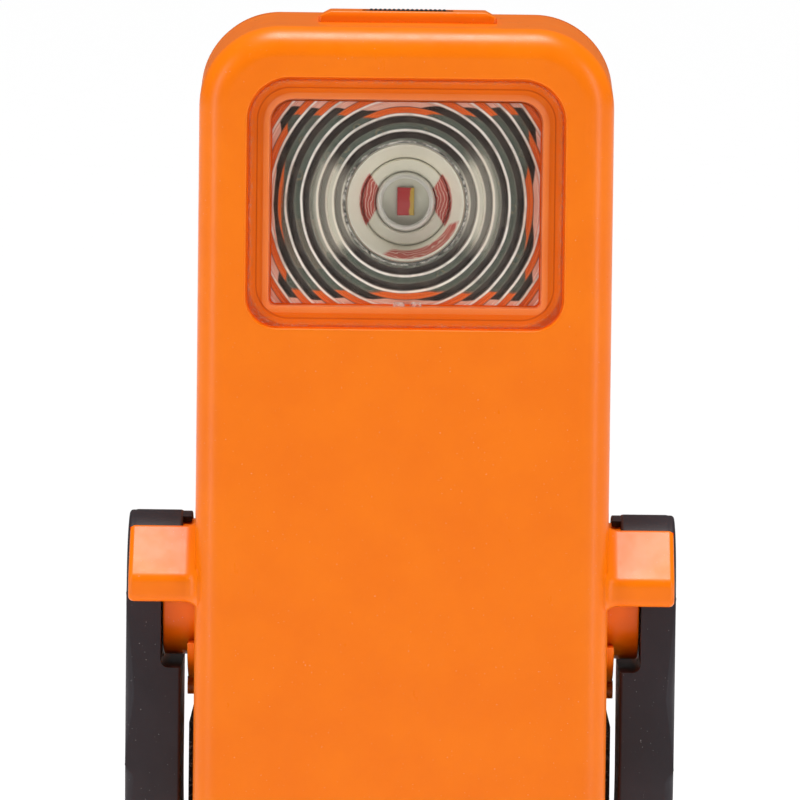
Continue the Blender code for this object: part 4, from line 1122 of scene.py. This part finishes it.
def build_screw(name, node, body, towards, at, head_radius, head_height, shank_radius, length, recess):
    """A button-head screw with a hexagonal recess; at is the underside of its head."""
    profile = [(0, head_height)]
    for i in range(7):
        turn = math.pi / 2 * i / 6
        profile.append((head_radius * (0.62 + 0.38 * math.sin(turn)),
                        head_height * (0.45 + 0.55 * math.cos(turn))))
    profile += [(head_radius, 0), (shank_radius, 0), (shank_radius, -length), (0, -length)]
    bm = bmesh.new()
    add_turned(bm, profile, towards, at, 40)
    screw = make_object(name, bm, MATERIALS["steel"])
    bm = bmesh.new()
    axis = towards[1]
    index = "XYZ".index(axis)
    sign = 1 if towards[0] == "+" else -1
    centre = [value for k, value in enumerate(at) if k != index]
    add_prism(bm, hexagon(recess, centre), axis, at[index] + sign * head_height * 0.3,
              at[index] + sign * (head_height + 0.001))
    combine(screw, "DIFFERENCE", bm)
    return finish_piece(screw, body, "steel", node)


def build_handle():
    for word, side in (("left", -1), ("right", 1)):
        towards = "+X" if side > 0 else "-X"
        build_arm(word, side)
        cap = [(0, 0.0532), (0.0020, 0.0532), (0.0026, 0.0535), (0.0062, 0.0535), (0.0066, 0.0534),
               (0.0069, 0.0531), (0.0069, 0.0524), (0, 0.0524)]
        turned_piece("pivot_cap_" + word, cap, towards, (0, 0, PIVOT_Z), BLACK, "handle", "black_plastic",
                     "hub_cap_" + word)
        build_screw("grip_screw_" + word, "bar_screw_" + word, "handle", towards,
                    (side * 0.0509, BAR_Y, BAR_Z), 0.0040, 0.0024, 0.0015, 0.0180, 0.0030)

    half = BAR_BOX[1][0]
    radius = BAR_BOX[1][1] - BAR_Y
    bm = bmesh.new()
    add_turned(bm, [(0, half), (radius - 0.0004, half), (radius, half - 0.0004), (radius, 0.0004 - half),
                    (radius - 0.0004, -half), (0, -half)], "+X", (0, BAR_Y, BAR_Z), 64)
    bar = make_object("grip_core", bm, BLACK)
    bm = bmesh.new()
    for side in (-1, 1):
        add_rod(bm, 0.0018, "X", (BAR_Y, BAR_Z), side * 0.0320, side * 0.0440, 24)
    combine(bar, "DIFFERENCE", bm)
    finish_piece(bar, "handle", "black_plastic", "grip_bar")

    end = SLEEVE_BOX[1][0]
    outer = SLEEVE_BOX[1][1] - BAR_Y
    bore = radius + CLEARANCE
    profile = [(bore, -end), (bore, end), (outer - 0.0012, end), (outer - 0.0004, end - 0.0004),
               (outer, end - 0.0012)]
    grooves = 14
    pitch = 0.0046
    for i in reversed(range(grooves)):
        middle = (i - (grooves - 1) / 2) * pitch
        for step, depth in ((0.0010, 0.0), (0.0006, 0.0005), (0.0003, 0.0007),
                            (-0.0003, 0.0007), (-0.0006, 0.0005), (-0.0010, 0.0)):
            profile.append((outer - depth, middle + step))
    profile += [(outer, 0.0012 - end), (outer - 0.0004, 0.0004 - end), (outer - 0.0012, -end)]
    turned_piece("ribbed_grip", profile, "+X", (0, BAR_Y, BAR_Z), MATERIALS["black_rubber"], "handle",
                 "black_rubber", "grip_sleeve", segments=80)


def build_button():
    (low_x, low_y, low_z), (high_x, high_y, high_z) = BUTTON_BOX
    half = GASKET_BOX[1][0] - BUTTON_INSET - 0.00015
    front, back = low_y + BUTTON_INSET, high_y - BUTTON_INSET
    ridge = 0.00018
    pitch = 0.0009
    count = 17
    top = [(half - 0.0002, high_z - 0.0004)]
    for i in range(count):
        middle = ((count - 1) / 2 - i) * pitch
        for step, drop in ((0.00032, ridge), (0.00018, 0.0), (-0.00018, 0.0), (-0.00032, ridge)):
            top.append((middle + step, high_z - drop))
    foot = 0.1852
    outline = [(half, foot), (half, high_z - 0.0006)] + top
    outline += [(0.0002 - half, high_z - 0.0004), (-half, high_z - 0.0006), (-half, foot)]
    bm = bmesh.new()
    add_prism(bm, outline, "Y", front, back)
    button = make_object("power_button", bm, MATERIALS["black_rubber"])
    bm = bmesh.new()
    add_box(bm, (low_x, low_y, foot - 0.0006), (high_x, high_y, foot + 0.0004))
    combine(button, "UNION", bm)
    bm = bmesh.new()
    add_rod(bm, 0.0015, "Z", (0, 0.0007), low_z, foot - 0.0003, 24)
    combine(button, "UNION", bm)
    return finish_piece(button, "button", "black_rubber", "switch_button")


RING_PLASTIC = ring_plastic()
CLEAR_MOULDING = clear_moulding()
DOME_SILICONE = dome_silicone()
DISH_ENAMEL = dish_enamel()
DIE = die_material()
COLLAR_WHITE = coloured("collar_white", (0.96, 0.95, 0.92), (0.88, 0.87, 0.83), 0.3)
# a paler copy of the orange plastic: a painted highlight on the frame round the opening
LIP_PAINTED_HIGHLIGHT = moulded("lip_orange_painted_highlight", (0.96, 0.25, 0.065), (0.93, 0.22, 0.05), 0.38, 2600, 0.10, 0.35)
BEIGE = coloured("beige_socket", (0.72, 0.60, 0.46), (0.62, 0.51, 0.38), 0.45)

build_front_shell()
build_rear_shell()
build_battery_cover()
build_base_pad()
build_window()
build_opening_lip()
build_ring_lens()
build_clips()
build_light_source()
build_led_board()
build_handle()
build_button()
for places, back_y, word in ((CASE_SCREWS, REAR_BOX[1][1], "case_screw_"),
                             (COVER_SCREWS, COVER_BOX[1][1], "cover_screw_")):
    number = 0
    for x, z in places:
        for side in (-1, 1):
            number += 1
            seat_y = back_y - 0.0025
            build_screw(word.replace("screw", "bolt") + str(number), word + str(number), "lamp", "+Y",
                        (side * x, seat_y, z), 0.0027, 0.0020, 0.0015, seat_y - 0.0080, 0.0022)


# ---------------------------------------------------------------- stage, lights and camera


def stage_material():
    paint = Paint("studio_paper")
    grain = paint.noise(40, 3.0)
    tone = paint.mix(grain, (0.93, 0.93, 0.93), (0.96, 0.96, 0.96))
    return paint.surface(paint.plain(tone, 0.9, 0.0, paint.bump(grain, 0.05, 0.001)))


def build_stage():
    """A wide level floor."""
    bm = bmesh.new()
    reach = 60.0
    corners = ((-reach, -reach), (reach, -reach), (reach, reach), (-reach, reach))
    bm.faces.new([bm.verts.new((x, y, 0.0)) for x, y in corners])
    floor = make_object("studio_floor", bm, stage_material())
    return floor


def add_area_light(name, place, target, size, power, colour=(1, 1, 1)):
    data = bpy.data.lights.new(name, "AREA")
    data.shape = "RECTANGLE"
    data.size, data.size_y = size
    data.energy = power
    data.color = colour
    lamp = bpy.data.objects.new(name, data)
    lamp.location = place
    lamp.rotation_euler = (Vector(target) - Vector(place)).to_track_quat("-Z", "Y").to_euler()
    bpy.context.scene.collection.objects.link(lamp)
    return lamp


def build_lights():
    world = bpy.data.worlds.new("studio_fill")
    world.use_nodes = True
    shade = world.node_tree.nodes["Background"]
    shade.inputs["Color"].default_value = (1.0, 1.0, 1.0, 1.0)
    shade.inputs["Strength"].default_value = 0.10
    bpy.context.scene.world = world
    middle = (0, 0, 0.12)
    add_area_light("softbox_left", (-0.66, -0.38, 0.28), middle, (0.13, 0.75), 2.1)
    add_area_light("softbox_right", (0.66, -0.38, 0.28), middle, (0.13, 0.75), 2.1)
    data = bpy.data.lights.new("overhead_softbox", "SUN")
    data.energy = 3.2
    data.angle = math.radians(27)
    above = bpy.data.objects.new("overhead_softbox", data)
    above.rotation_euler = (math.radians(2), 0, 0)
    bpy.context.scene.collection.objects.link(above)


def build_camera():
    pitch = math.radians(3.9)
    roll = math.radians(0.65)
    distance = 1.45
    target = Vector((-0.00067, -0.031, 0.1174))
    data = bpy.data.cameras.new("photo_camera")
    data.lens = 338.0
    data.sensor_width = 36.0
    data.clip_end = 50.0
    camera = bpy.data.objects.new("photo_camera", data)
    turn = Matrix.Rotation(math.pi / 2 - pitch, 4, "X") @ Matrix.Rotation(roll, 4, "Z")
    away = Vector((0, -math.cos(pitch), math.sin(pitch)))
    camera.matrix_world = Matrix.Translation(target + away * distance) @ turn
    bpy.context.scene.collection.objects.link(camera)
    bpy.context.scene.camera = camera


build_stage()
build_lights()
build_camera()
bpy.context.scene.view_settings.view_transform = "Standard"
